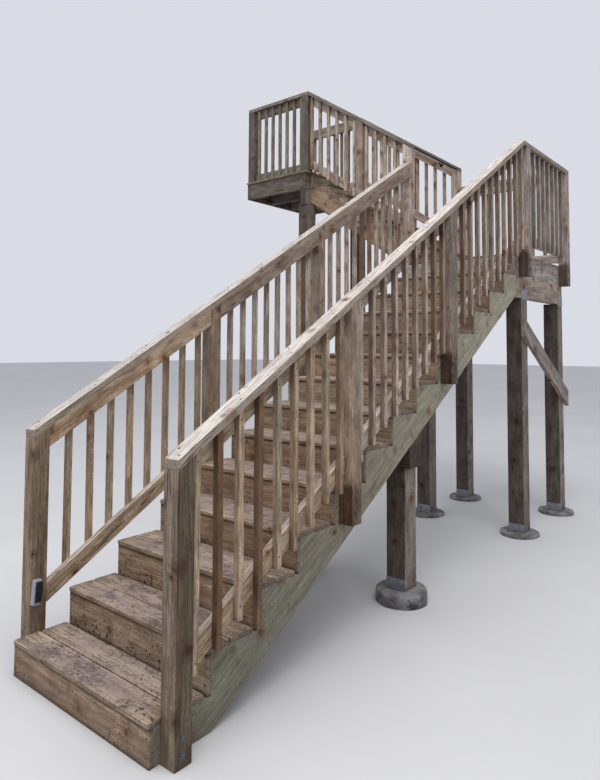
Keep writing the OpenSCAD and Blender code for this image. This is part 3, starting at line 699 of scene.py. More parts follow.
def pine(name, green=0.3, light=1.0, contrast=0.75, mud=0.0, splash=0.4, knots=1.0,
         grooves=0.0, damp_foot=0.0, grey=0.0, bleach=0.3, stain=0.4, streaked=0.4,
         wear_and_highlight=0.4, joints=0.0, uneven=0.22, painted_height_shade=(1.0, 1.0), aloft=0.0, even=0.2):
    """Pressure-treated pine. green, grey and light set its cast, contrast how dark the
    rings are, knots how large the knots are, streaked how dark the streaks along the
    board are, bleach how much paler the faces that look up are, stain the dark water
    marks, mud and splash the dirt, worn how pale the edges are, partly as rubbed wear and
    partly as a painted highlight, joints how dark the painted shadow along the long edges
    is, under a tread's nosing and at the joint below (0 for boards that don't meet others
    edge to edge), grooves the planer's lengthwise ridges, damp_foot the height of the wet
    brown wood at a post's lower end, drawn darker on the faces towards the flight's foot as
    painted shade, uneven how much the lightness changes along a board, climb the painted
    shade from the floor up: how light it is near the floor and two metres up, aloft how
    much greyer it is three metres up and even the share of the green that is the same all
    over."""
    finish = bpy.context.scene.deck_stairs_finish
    material, w, shader = new_material(name)
    (rings, fibre, streaks, bands, stains, cloud, fleck, crack, knot, halo,
     kind) = placed_group(w, GROUPS["grain"], Knots=knots)
    edge, end, cut, foot, inward = placed_group(
        w, GROUPS["edges"], Edge_width=0.022 if joints else 0.006)
    trodden, film, specks, damp = placed_group(w, GROUPS["dirt"], Mud=mud, Splash=splash)
    up, lee, front = placed_group(w, GROUPS["weather"])
    lightness, greenness, brownness = w.split(w.attribute("tone"))
    height = w.split(w.place())[2]
    mossed = w.times(w.ramp(bands, 0.36, 0.62, 1.0, even), w.plus(greenness, green),
                     clamp=True)
    heart = w.mix(w.ramp(kind, 0.45, 0.9), finish.knot_wood, finish.brown_wood)
    wood = w.coated(
        finish.early_wood,
        (finish.late_wood, rings, contrast),
        (finish.late_wood, w.ramp(streaks, 0.51, 0.62, 0.0, streaked)),
        (finish.pale_wood, w.ramp(streaks, 0.48, 0.36, 0.0, 0.32)),
        (finish.green_wood, mossed),
        (finish.grey_wood, w.ramp(height, 0.6, 3.0, grey, grey + aloft)),
        (finish.brown_wood, w.ramp(stains, 0.52, 0.66, 0.0, stain)),
        (finish.brown_wood, brownness),
        (finish.bleached_wood, up, bleach),
        (finish.late_wood, w.ramp(fibre, 0.46, 0.66, 0.0, 0.5)),
        (finish.late_wood, halo, 0.7),
        (finish.brown_wood, fleck, 0.7),
        (heart, knot, 0.9),
        (finish.knot_wood, crack, 0.75),
        (END_GRAIN, end, 0.3),
        (SAWN_END, cut, 0.6))
    shade = w.times(w.ramp(cloud, 0.34, 0.66, (1 - uneven) * light, (1 + uneven) * light),
                    w.ramp(fibre, 0.3, 0.7, 1.2, 0.84))
    # Painted shade: darker near the floor and lighter two metres up, as if less light
    # reached low down.
    shade = w.times(shade, w.ramp(height, 0.1, 2.0, *painted_height_shade))
    wood = w.tinted(wood, w.grey(w.times(lightness, shade)))
    # The named side is drawn darker: partly damp wood, partly painted shade.
    wood = w.mix(lee, wood, w.tinted(wood, DAMP_AND_SHADE_TINT))
    if damp_foot:
        above = w.plus(foot, w.times(streaks, 0.12))
        # Damp wood at a post's foot, drawn darker on the faces towards the flight's foot,
        # which is painted shade from the treads beside them.
        soaked_and_shaded = w.times(w.ramp(above, damp_foot, damp_foot + 0.07, 1.0, 0.0),
                         w.math("MULTIPLY_ADD", front, 0.8, 0.5))
        soaked_and_shaded = w.times(soaked_and_shaded, w.ramp(height, 0.3, 0.6))
        stained = w.mix(w.ramp(height, 1.0, 2.2), SOAKED_LOW_TINT, SOAKED_HIGH_TINT)
        wood = w.mix(soaked_and_shaded, wood, w.tinted(wood, stained))
    wood = w.coated(
        wood,
        # Pale long edges: rubbed wear, and a painted highlight.
        (w.tinted(wood, RUBBED_AND_HIGHLIGHT_TINT), edge, wear_and_highlight),
        # Painted shadow along a riser's long edges, under the tread's nosing and at the
        # joint below.
        (JOINT_SHADOW, edge, joints),
        (DAMP_DARK, damp, 0.55),
        (finish.dust, w.times(film, inward), 0.55),
        (finish.mud, w.times(trodden, inward), 0.8),
        (SPECK_DARK, specks, 0.88))
    rough = w.ramp(w.plus(fibre, w.times(rings, 0.4)), 0.2, 1.1, 0.58, 0.82)
    ridges = w.math("SINE", w.times(w.split(w.attribute("spot"))[1], PLANER_RIDGES))
    relief = w.plus(w.times(rings, 0.4), w.times(fibre, 0.8))
    relief = w.minus(w.minus(relief, w.times(knot, 0.4)), w.times(crack, 1.2))
    relief = w.plus(relief, w.times(ridges, grooves))
    painted(w, shader, wood, rough, relief, 1.4 * MILLIMETRE)
    shader.inputs["Specular IOR Level"].default_value = 0.2
    return material


def galvanised(name, light):
    """Zinc-coated steel: flat crystals of slightly different grey and gloss."""
    material, w, shader = new_material(name)
    place = w.place()
    grain = w.split(w.cells(place, 170.0)["Color"])[0]
    dull = w.noise(place, 24.0, 4.0, 0.6)
    colour = w.mix(grain, (0.20, 0.215, 0.24), (0.36, 0.385, 0.42))
    colour = w.mix(w.ramp(dull, 0.5, 0.7, 0.0, 0.6), colour, (0.13, 0.12, 0.11))
    rough = w.ramp(w.plus(dull, w.times(grain, 0.3)), 0.3, 1.0, 0.42, 0.68)
    colour = w.tinted(colour, (light, light, light))
    painted(w, shader, colour, rough, dull, 0.3 * MILLIMETRE)
    shader.inputs["Metallic"].default_value = 0.85
    return material


def screw_steel():
    """Dull coated screw heads, some darker than others."""
    material, w, shader = new_material("coated screws")
    patch = w.noise(w.place(), 60.0)
    colour = w.mix(w.ramp(patch, 0.35, 0.65), (0.03, 0.027, 0.025), (0.08, 0.07, 0.06))
    painted(w, shader, colour, w.ramp(patch, 0.3, 0.7, 0.4, 0.65))
    shader.inputs["Metallic"].default_value = 0.5
    return material


def poured_concrete():
    """Pale poured concrete with small air holes and dirt thrown over it."""
    material, w, shader = new_material("poured concrete")
    place = w.place()
    cloud = w.noise(place, 9.0, 6.0, 0.62)
    grit = w.noise(place, 120.0, 3.0, 0.7)
    holes = w.ramp(w.cells(place, 55.0)["Distance"], 0.10, 0.2, 1.0, 0.0)
    thrown = w.times(w.ramp(w.noise(place, 14.0, 5.0, 0.7), 0.5, 0.64),
                     w.ramp(w.split(place)[2], 0.0, 0.1, 0.95, 0.45))
    colour = w.coated(
        (0.13, 0.125, 0.125),
        ((0.27, 0.265, 0.265), w.ramp(cloud, 0.35, 0.68)),
        ((0.13, 0.12, 0.115), w.ramp(grit, 0.5, 0.75, 0.0, 0.4)),
        ((0.04, 0.03, 0.028), thrown))
    height = w.minus(w.plus(cloud, w.times(grit, 0.3)), holes)
    painted(w, shader, colour, w.ramp(cloud, 0.2, 0.8, 0.78, 0.95), height, 2 * MILLIMETRE)
    return material


def black_paint():
    """Satin black paint on pipe, paler in patches on its upper faces: dust, and a painted
    highlight where the sky would reflect.
    """
    material, w, shader = new_material("satin black paint")
    dust = w.noise(w.place(), 30.0, 5.0, 0.65)
    up = w.ramp(w.split(w.normal())[2], 0.2, 1.0)
    # Upper faces paler in patches: dust, and a painted highlight where the sky would
    # reflect.
    colour = w.mix(w.times(w.ramp(dust, 0.4, 0.7), up), (0.012, 0.012, 0.014),
                   (0.07, 0.068, 0.066))
    painted(w, shader, colour, w.ramp(dust, 0.3, 0.7, 0.28, 0.5), dust, 0.15 * MILLIMETRE)
    return material


def lamp_plastic():
    """White moulded plastic, dulled in patches."""
    material, w, shader = new_material("white lamp plastic")
    haze = w.noise(w.place(), 40.0, 4.0, 0.6)
    colour = w.mix(w.ramp(haze, 0.5, 0.75, 0.0, 0.6), (0.26, 0.26, 0.3),
                   (0.15, 0.145, 0.15))
    painted(w, shader, colour, w.ramp(haze, 0.3, 0.8, 0.3, 0.55), haze, 0.1 * MILLIMETRE)
    return material


def lamp_cells():
    """Dark light-gathering cells behind clear plastic, with fine pale strips."""
    material, w, shader = new_material("dark lamp cells")
    place = w.place()
    strip = w.ramp(w.math("PINGPONG", w.split(place)[2], 0.009), 0.0003, 0.0009, 1.0, 0.0)
    cloud = w.noise(place, 35.0, 3.0)
    colour = w.coated(
        (0.006, 0.007, 0.012),
        ((0.02, 0.022, 0.03), w.ramp(cloud, 0.3, 0.7)),
        ((0.12, 0.12, 0.13), strip, 0.35))
    painted(w, shader, colour, w.ramp(cloud, 0.3, 0.7, 0.12, 0.24))
    return material


def make_finishes():
    """Builds the shared node groups and every material, once."""
    finish = bpy.context.scene.deck_stairs_finish
    GROUPS.update(grain=grain_group(finish), edges=edge_group(), weather=weather_group(),
                  dirt=dirt_group())
    FINISHES.update(
        stringer=pine("green cut stringers", green=0.85, contrast=0.2, grooves=0.4,
                      splash=0.35, light=1.02, grey=0.12, stain=0.0, streaked=0.1,
                      knots=0.8, wear_and_highlight=0.1, uneven=0.12, painted_height_shade=(0.8, 1.45), even=0.7),
        tread=pine("trodden treads", green=0.06, contrast=0.4, mud=1.0, splash=1.0,
                   light=0.9, bleach=0.12, stain=0.5, wear_and_highlight=0.9),
        riser=pine("splashed risers", green=0.05, contrast=0.6, splash=1.0, light=1.05,
                   stain=0.4, streaked=0.35, wear_and_highlight=0.0, joints=0.85, painted_height_shade=(1.08, 1.0)),
        post=pine("tan guard posts", green=0.12, contrast=0.45, splash=0.45, light=0.76,
                  knots=1.1, streaked=0.3, wear_and_highlight=0.08, painted_height_shade=(0.97, 1.25), aloft=0.5),
        tailed=pine("guard posts with damp tails", green=0.12, contrast=0.45,
                    splash=0.3, damp_foot=0.24, light=0.8, grey=0.1, knots=1.1,
                    streaked=0.28, wear_and_highlight=0.08, painted_height_shade=(0.88, 1.12), aloft=0.6),
        guard=pine("tan guard boards", green=0.12, contrast=0.5, splash=0.25, light=1.28,
                   streaked=0.35, wear_and_highlight=0.12),
        aged=pine("aged guard boards", green=0.12, contrast=0.55, splash=0.25, light=1.38,
                  grey=0.45, streaked=0.6, stain=0.6, knots=1.2, wear_and_highlight=0.15),
        landing=pine("greyed landing guards", green=0.25, contrast=0.4, light=1.32,
                     grey=0.75, streaked=0.4, stain=0.35, wear_and_highlight=0.15),
        cap=pine("pale cap boards", green=0.3, contrast=0.25, splash=0.15, light=0.95,
                 grey=0.35, knots=0.7, bleach=0.72, stain=0.0, streaked=0.1, wear_and_highlight=0.1,
                 uneven=0.07),
        weathered=pine("weathered grey rim", green=0.45, contrast=0.4, light=0.48,
                       grey=0.55, wear_and_highlight=0.1),
        mossy=pine("mossy grey guard", green=0.75, contrast=0.35, light=0.72, grey=0.25,
                   stain=0.2, wear_and_highlight=0.1, even=0.5),
        dull_cap=pine("dull cap boards", green=0.35, contrast=0.3, splash=0.15, light=0.62,
                      grey=0.5, knots=0.8, bleach=0.3, stain=0.2, streaked=0.2, wear_and_highlight=0.1),
        heavy=pine("dark heavy posts", green=0.45, contrast=0.45, splash=0.5, light=0.68,
                   grey=0.6, wear_and_highlight=0.1),
        beam=pine("dark damp beam", green=0.1, contrast=0.5, light=0.3, grey=0.3,
                  stain=0.6, wear_and_highlight=0.1),
        frame=pine("greenish framing", green=0.5, contrast=0.4, light=1.12, grey=0.75,
                   wear_and_highlight=0.1),
        tan_frame=pine("tan beams", green=0.15, contrast=0.45, light=1.0, grey=0.4,
                       wear_and_highlight=0.1),
        steel=galvanised("galvanised plate", 1.0), bolts=galvanised("dull bolts", 0.45),
        screws=screw_steel(), concrete=poured_concrete(),
        black=black_paint(), lamp=lamp_plastic(), cells=lamp_cells())


# ---------------------------------------------------------------- operators


class Undoable:
    """What all the operators share: each is one step that can be taken back."""

    bl_options = {"REGISTER", "UNDO"}


class BoardsOperator(Undoable):
    """What the operators that dress plain boards share: the material's slot, a row of
    (node, finish, seed, tone settings) for each node, the side of some boards that is drawn
    darker as damp and as painted shade, the tones of some boards, given one by one, and
    whether their edges are rounded."""

    slot = ""
    rows = ()
    lee, picked = {}, {}
    rounded = False

    def execute(self, context):
        sizes = context.scene.deck_stairs_boards
        ease = sizes.deck_ease if self.rounded else sizes.ease
        for node, finish, seed, settings in self.rows:
            boards = boards_in(node)
            tone = tones(np.random.default_rng(seed), len(boards), **settings)
            for index, shade in self.picked.get(node, {}).items():
                tone[index] = shade
            dressed(node, boards, tone, ease, finish, self.slot, seed, self.lee.get(node))
        return {"FINISHED"}


class DECKSTAIRS_OT_stringers(BoardsOperator, bpy.types.Operator):
    """Cut stringers of both flights, with the steps sawn into their upper edges"""

    bl_idname = "deck_stairs.stringers"
    bl_label = "Stringers"
    slot = "stringer_pine"
    rows = (
        ("right_stringer", "stringer", 11, {}),
        ("middle_stringer", "stringer", 12, {}),
        ("left_stringer", "stringer", 13, {}),
        ("upper_stringers", "riser", 14, {"brown": 0.45, "green": 0.3}),
    )


class DECKSTAIRS_OT_treads(BoardsOperator, bpy.types.Operator):
    """Tread and deck boards with rounded edges"""

    bl_idname = "deck_stairs.treads"
    bl_label = "Treads and decks"
    slot = "tread_pine"
    rounded = True
    rows = (
        ("main_treads", "tread", 21, {"green": 0.2, "brown": 0.22}),
        ("upper_treads", "tread", 22, {"green": 0.2, "brown": 0.3}),
        ("landing_deck", "tread", 23, {"green": 0.3, "brown": 0.2}),
        ("balcony_deck", "tread", 24, {"green": 0.3, "brown": 0.1}),
    )


class DECKSTAIRS_OT_risers(BoardsOperator, bpy.types.Operator):
    """Riser boards of both flights"""

    bl_idname = "deck_stairs.risers"
    bl_label = "Risers"
    slot = "riser_pine"
    rows = (
        ("main_risers", "riser", 31, {"brown": 0.5, "green": 0.45, "light": 0.14}),
        ("upper_risers", "riser", 32, {"brown": 0.5}),
    )


class DECKSTAIRS_OT_posts(BoardsOperator, bpy.types.Operator):
    """Guard posts with their tops cut to the slope of the caps"""

    bl_idname = "deck_stairs.posts"
    bl_label = "Guard posts"
    slot = "post_pine"
    rows = (
        ("right_posts", "tailed", 41, {"light": 0.06}),
        ("left_posts", "post", 42, {"light": 0.06}),
        ("upper_posts", "post", 43, {"brown": 0.3}),
        ("balcony_posts", "weathered", 44, {"brown": 0.3}),
    )
    # The -Y faces of the first three right posts are drawn darker: damp wood, and painted
    # shade.
    lee = {"right_posts": {0: (0, -1, 0.7), 1: (0, -1, 0.4), 2: (0, -1, 0.3)}}
    picked = {"right_posts": {0: (0.9, 0.2, 0.05), 1: (1.5, 0.05, 0.1),
                              3: (1.2, -0.05, 0.0), 4: (1.25, -0.05, 0.0)},
              "left_posts": {0: (0.93, 0.05, 0.03), 3: (1.6, 0.0, 0.0),
                             4: (1.3, 0.0, 0.05)}}


class DECKSTAIRS_OT_caps(BoardsOperator, bpy.types.Operator):
    """Cap boards laid flat over the guards"""

    bl_idname = "deck_stairs.caps"
    bl_label = "Caps"
    slot = "cap_pine"
    rows = (
        ("right_cap", "cap", 51, {"green": 0.1, "brown": 0.0}),
        ("left_cap", "cap", 52, {"green": 0.2, "brown": 0.0}),
        ("landing_end_cap", "cap", 53, {"green": 0.1, "brown": 0.0}),
        ("upper_caps", "dull_cap", 54, {"green": 0.3, "brown": 0.1}),
        ("balcony_caps", "dull_cap", 55, {"green": 0.5, "brown": 0.1}),
    )


class DECKSTAIRS_OT_framing(BoardsOperator, bpy.types.Operator):
    """Rims, joists, beams and the brace"""

    bl_idname = "deck_stairs.framing"
    bl_label = "Framing"
    slot = "frame_pine"
    rows = (
        ("landing_frame", "frame", 61, {}),
        ("landing_beams", "tan_frame", 62, {"brown": 0.2, "green": 0.1}),
        ("landing_brace", "frame", 63, {}),
        ("flight_beam", "beam", 64, {"brown": 0.5}),
        ("balcony_frame", "weathered", 65, {}),
    )
    picked = {"landing_brace": {0: (0.95, 0.3, 0.25)}}


class DECKSTAIRS_OT_supports(BoardsOperator, bpy.types.Operator):
    """Heavy posts and the beam that stands on them"""

    bl_idname = "deck_stairs.supports"
    bl_label = "Heavy posts"
    slot = "heavy_pine"
    rows = (
        ("landing_posts", "heavy", 71, {}),
        ("flight_posts", "heavy", 72, {}),
        ("balcony_supports", "heavy", 73, {}),
    )
    # Painted shade: each heavy post's face towards the flight's foot is drawn darker, where
    # the stairs above keep the light off it.
    lee = {node: {"others": (-1, 0, 0.8)} for node, *_ in rows}


class DECKSTAIRS_OT_guards(Undoable, bpy.types.Operator):
    """Guard sections: two rails on the inside and square balusters on the outside"""

    bl_idname = "deck_stairs.guards"
    bl_label = "Guards"
    rows = (
        ("right_panel_1", RUN_X, -1, "guard", "guard_pine", 81, 0.1),
        ("right_panel_2", RUN_X, -1, "aged", "guard_pine", 82, 0.15),
        ("right_panel_3", RUN_X, -1, "aged", "guard_pine", 83, 0.15),
        ("left_panel_1", RUN_X, 1, "guard", "guard_pine", 84, 0.0),
        ("left_panel_2", RUN_X, 1, "aged", "guard_pine", 85, 0.15),
        ("left_panel_3", RUN_X, 1, "aged", "guard_pine", 86, 0.2),
        ("landing_side_panel", RUN_X, -1, "landing", "guard_pine", 87, 0.0),
        ("landing_end_panel", RUN_Y, 1, "landing", "guard_pine", 88, 0.0),
        ("upper_near_panel", RUN_Y, -1, "aged", "guard_pine", 89, 0.1),
        ("upper_far_panel", RUN_Y, 1, "aged", "guard_pine", 90, 0.1),
        ("balcony_near_panel", RUN_Y, -1, "mossy", "weathered_pine", 91, 0.0),
        ("balcony_far_panel", RUN_Y, 1, "mossy", "weathered_pine", 92, 0.0),
    )
    rail_brown = {"left_panel_2": 0.25, "left_panel_3": 0.35}
    hangs = {"right_panel_1": (0.0, 0.018, 0.013, 0.162, 0.009, 0.026, 0.013, 0.0, 0.046)}
    picked = {"right_panel_1": (
        (1.0, 0.3, 0.05), (0.83, 0.0, 0.9), (1.1, 0.3, 0.03), (0.76, 0.0, 0.8),
        (1.05, 0.5, 0.08), (0.95, 0.1, 0.3), (1.05, 0.3, 0.08), (1.0, 0.5, 0.1),
        (0.92, 0.1, 0.35))}

    def execute(self, context):
        sizes = context.scene.deck_stairs_boards
        for node, run, outside, finish, slot, seed, share in self.rows:
            rng = np.random.default_rng(seed)
            rails, balusters = panels_in(node, run, outside)
            drops = self.hangs.get(
                node, rng.uniform(-0.3, 1, len(balusters)) * sizes.ragged)
            balusters = [self.set_by_hand(one, rng.uniform(-1, 1) * sizes.sway, drop)
                         for one, drop in zip(balusters, drops)]
            tone = tones(rng, len(rails) + len(balusters), light=0.17, green=0.55,
                         brown=0.24, brown_share=share)
            tone[:len(rails), 2] = self.rail_brown.get(node, 0.02)
            if node in self.picked:
                tone[len(rails):] = self.picked[node]
            # Balusters of the right guards are drawn darker on their faces towards the
            # flight's foot: damp wood, and painted shade.
            dark = 0.3 if node == "right_panel_1" else 0.7
            lee = {"others": (-1, 0, dark if outside < 0 and run == RUN_X else 0.1)}
            lee.update({index: (0, 0, 0) for index in range(len(rails))})
            dressed(node, rails + balusters, tone, sizes.ease, finish, slot, seed, lee)
        return {"FINISHED"}

    @staticmethod
    def set_by_hand(board, sway, drop):
        """A baluster as it was really nailed up: its foot a little off plumb and a
        little higher or lower than its neighbours'."""
        axis, low, high, outline = board
        upright_column = flat_axes(axis).index(2)
        outline = outline.copy()
        feet = outline[:, upright_column] < outline[:, upright_column].mean()
        outline[feet, 1 - upright_column] += sway
        outline[feet, upright_column] -= drop
        return axis, low, high, outline


def face_places(along_axis, alongs, cross_axis, crosses, face_axis, level):
    """Places on one face of a board, at each distance along it and each across it."""
    order = [along_axis, cross_axis, face_axis]
    spots = np.array([(along, across, level) for along in alongs for across in crosses])
    return list(spots[:, np.argsort(order)])


class DECKSTAIRS_OT_screws(Undoable, bpy.types.Operator):
    """Screw heads in treads, decks, risers, caps and balusters"""

    bl_idname = "deck_stairs.screws"
    bl_label = "Screws"

    def execute(self, context):
        settings = context.scene.deck_stairs_fasteners
        rng = np.random.default_rng(7)
        radius = settings.screw_d / 2
        profile = ((radius, -0.002), (radius, 0.0004), (radius * 0.8, 0.0011),
                   (radius * 0.3, 0.0012), (radius * 0.25, 0.0002))
        groups = {
            "tread_screws": self.deck_places(settings),
            "riser_screws": self.riser_places(settings),
            "cap_screws": self.cap_places(),
            "baluster_screws": self.baluster_places(),
        }
        for name, (places, normals) in groups.items():
            surface = Surface()
            places = np.asarray(places) + rng.normal(0, 0.002, (len(places), 3)) * (
                1 - np.abs(normals))
            wider = 1.35 if name == "cap_screws" else 1.0
            add_heads(surface, np.array(profile) * [wider, 1.0], 7, places, normals, rng)
            surface.finish(name, "screws", STEEL)
        return {"FINISHED"}

    @staticmethod
    def deck_places(settings):
        """Two screws across each tread or deck board over every board under it."""
        places = []
        carried = (("main_treads", 1, 3, 0.0), ("upper_treads", 0, 3, 0.0),
                   ("landing_deck", 0, 4, 0.0), ("balcony_deck", 0, 4, 0.02))
        for node, run, count, further in carried:
            cross, inset = 1 - run, settings.edge_gap + further
            for points in solids(node):
                low, high = points.min(0), points.max(0)
                edge = min(0.03, 0.3 * (high[cross] - low[cross]))
                places += face_places(
                    run, np.linspace(low[run] + inset, high[run] - inset, count),
                    cross, (low[cross] + edge, high[cross] - edge), 2, high[2])
        return places, np.tile([0, 0, 1.0], (len(places), 1))

    @staticmethod
    def riser_places(settings):
        """Two screws one above the other in each riser, over each stringer."""
        places, normals, inset = [], [], settings.edge_gap
        for node, face in (("main_risers", 0), ("upper_risers", 1)):
            run, done = 1 - face, len(places)
            for points in solids(node):
                low, high = points.min(0), points.max(0)
                levels = low[2] + np.array([0.25, 0.75]) * (high[2] - low[2])
                places += face_places(
                    run, np.linspace(low[run] + inset, high[run] - inset, 3), 2, levels,
                    face, low[face])
            normals += [-np.eye(3)[face]] * (len(places) - done)
        return places, np.array(normals)

    @staticmethod
    def cap_places():
        """Screws in pairs down the middle of each cap board, 0.4 m apart. A slanted end
        has its corners within reach of the board's end."""
        reach, apart = 0.06, 0.4
        places, normals = [], []
        for node in ("right_cap", "left_cap", "landing_end_cap", "upper_caps",
                     "balcony_caps"):
            for points in solids(node):
                run = int(np.argmax(np.ptp(points, axis=0)[:2]))
                cross = 1 - run
                start = points[points[:, run] < points[:, run].min() + reach]
                finish = points[points[:, run] > points[:, run].max() - reach]
                first, last = (part[part[:, 2].argmax()] for part in (start, finish))
                heading = last - first
                heading[cross] = 0
                length = np.linalg.norm(heading)
                heading /= length
                normal = np.cross(heading, np.eye(3)[cross])
                normal *= np.sign(normal[2])
                middle = (points[:, cross].min() + points[:, cross].max()) / 2
                for way in np.arange(0.045, length - 0.04, apart):
                    for side in (-0.018, 0.022):
                        place = first + heading * (way + side)
                        place[cross] = middle + side
                        places.append(place)
                        normals.append(normal)
        return places, np.array(normals)

    @staticmethod
    def baluster_places():
        """One screw through each baluster into the bottom rail and one into the top."""
        places, normals = [], []
        for node, run, outside, *_ in DECKSTAIRS_OT_guards.rows:
            across = 1 - run
            for axis, low, high, outline in panels_in(node, run, outside)[1]:
                flat = flat_axes(axis)
                heights, widths = outline[:, flat.index(2)], outline[:, flat.index(run)]
                places += face_places(
                    run, (widths.mean(),), 2, (heights.min() + 0.05, heights.max() - 0.045),
                    across, high if outside > 0 else low)
                normals += [outside * np.eye(3)[across]] * 2
        return places, np.array(normals)


class DECKSTAIRS_OT_bolts(Undoable, bpy.types.Operator):
    """Lag bolts and washers that hold the guard posts"""

    bl_idname = "deck_stairs.bolts"
    bl_label = "Post bolts"

    def execute(self, context):
        settings = context.scene.deck_stairs_fasteners
        rng = np.random.default_rng(8)
        places, normals = [], []
        on_floor, on_stringer = (0.053, 0.12), (0.064, 0.15)
        for node, outside in (("right_posts", -1), ("left_posts", 1)):
            for points in solids(node):
                low, high = points.min(0), points.max(0)
                face = high[1] if outside > 0 else low[1]
                places += [[low[0] + 0.035, face, low[2] + lift]
                           for lift in (on_floor if low[2] < 0.01 else on_stringer)]
                normals += [[0, outside, 0]] * 2
        for points in solids("upper_posts"):
            low, high = points.min(0), points.max(0)
            near = low[0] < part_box("upper_stringers")[0][0]
            places += [[low[0] if near else high[0], low[1] + 0.045, low[2] + lift]
                       for lift in (0.06, 0.15)]
            normals += [[-1 if near else 1, 0, 0]] * 2
        surface = Surface()
        add_bolts(surface, places, normals, settings, rng)
        surface.finish("post_bolts", "bolts", STEEL)
        return {"FINISHED"}


def add_bolts(surface, places, normals, settings, rng, scale=1.0):
    """A round washer under a six-sided head at each place."""
    washer, head = settings.washer_d / 2 * scale, settings.bolt_d / 2 * scale
    rim = ((washer, -0.001), (washer, 0.0018), (washer * 0.94, 0.0026), (head, 0.0027))
    cap = ((head, 0.002), (head * 1.02, 0.0085), (head * 0.86, 0.0105),
           (head * 0.3, 0.0106))
    add_heads(surface, rim, 16, places, normals, rng)
    add_heads(surface, cap, 6, places, normals, rng)


class DECKSTAIRS_OT_steelwork(Undoable, bpy.types.Operator):
    """Post bases and straps of galvanised plate, with their bolts and nails"""

    bl_idname = "deck_stairs.steelwork"
    bl_label = "Post bases and straps"

    def execute(self, context):
        settings = context.scene.deck_stairs_fasteners
        rng = np.random.default_rng(9)
        surface = Surface()
        bolts, bolt_normals, nails, nail_normals = [], [], [], []
        for points in solids("post_hardware"):
            low, high = points.min(0), points.max(0)
            strap = high[1] - low[1] < 0.01
            if strap:
                surface.add(*eased_prism(as_prism(points), 0.001))
                outside, face = (-1, low[1]) if low[1] < 0 else (1, high[1])
                nails += face_places(RUN_X, np.linspace(low[0] + 0.02, high[0] - 0.02, 4),
                                     2, np.linspace(low[2] + 0.015, high[2] - 0.015, 4),
                                     RUN_Y, face)
                nail_normals += [[0, outside, 0]] * 16
                continue
            self.add_base(surface, low, high)
            for side, face in ((-1, low[0]), (1, high[0])):
                bolts += face_places(RUN_Y, (low[1] + 0.035, high[1] - 0.035),
                                     2, (low[2] + 0.045,), RUN_X, face)
                bolt_normals += [[side, 0, 0]] * 2
        add_bolts(surface, bolts, bolt_normals, settings, rng, scale=0.8)
        nail = ((0.004, -0.001), (0.004, 0.0008), (0.0028, 0.0016))
        add_heads(surface, nail, 7, nails, np.array(nail_normals, float), rng)
        surface.finish("post_hardware_plates", "steel", STEEL, ("post_hardware",))
        return {"FINISHED"}

    @staticmethod
    def add_base(surface, low, high):
        """A plate with a tab up each side: one U-shaped outline carried across Y, with
        its outer corners cut off where it bends."""
        bottom, bed, top = low[2], low[2] + PLATE, high[2]
        left, in_left, in_right, right = low[0], low[0] + PLATE, high[0] - PLATE, high[0]
        outline = np.array([
            [bottom, in_left], [bottom, in_right], [bed, right], [top, right],
            [top, in_right], [bed, in_right], [bed, in_left], [top, in_left], [top, left],
            [bed, left]])
        surface.add(*eased_prism((1, low[1], high[1], anticlockwise(outline)), 0.0008))


class DECKSTAIRS_OT_footings(Undoable, bpy.types.Operator):
    """Poured concrete footings with uneven rims"""

    bl_idname = "deck_stairs.footings"
    bl_label = "Footings"

    def execute(self, context):
        surface = Surface()
        for index, points in enumerate(solids("footings")):
            surface.add(*self.pier(points.min(0), points.max(0), index))
        surface.finish("footing_piers", "concrete", "concrete", ("footings",),
                       smooth=True)
        return {"FINISHED"}

    @staticmethod
    def pier(low, high, index):
        """A disc turned round its middle. Its radius waves by up to 3 per cent with the
        angle, as a sum of four sines with random phases, and its rim rolls over."""
        rng = np.random.default_rng(900 + index)
        angle = np.arange(96) / 96 * FULL_TURN
        radius, height = (high[0] - low[0]) / 2, high[2] - low[2]
        waves = sum(amount * np.sin(turns * angle + rng.uniform(0, 6.28))
                    for turns, amount in ((2, 0.012), (3, 0.010), (7, 0.006), (13, 0.004)))
        turn = np.linspace(0, np.pi / 2, 7)
        roll = min(0.014, 0.4 * height)
        inset = np.concatenate([[0.0, 0.0], roll * (1 - np.cos(turn[1:])),
                                [0.03, 0.06, 0.1, 0.15, 0.172]])
        level = np.concatenate([[0.0, height - roll],
                                height - roll + roll * np.sin(turn[1:]), [height] * 5])
        reach = radius * (0.966 + waves[None]) - inset[:, None]
        bumps = np.zeros((len(inset), len(angle)))
        bumps[2:8] = rng.uniform(-0.0025, 0.0, (6, len(angle)))
        middle = (low + high) / 2
        points = np.stack([middle[0] + reach * np.cos(angle),
                           middle[1] + reach * np.sin(angle),
                           level[:, None] + bumps], -1)
        return points.reshape(-1, 3), banded(len(inset), len(angle))


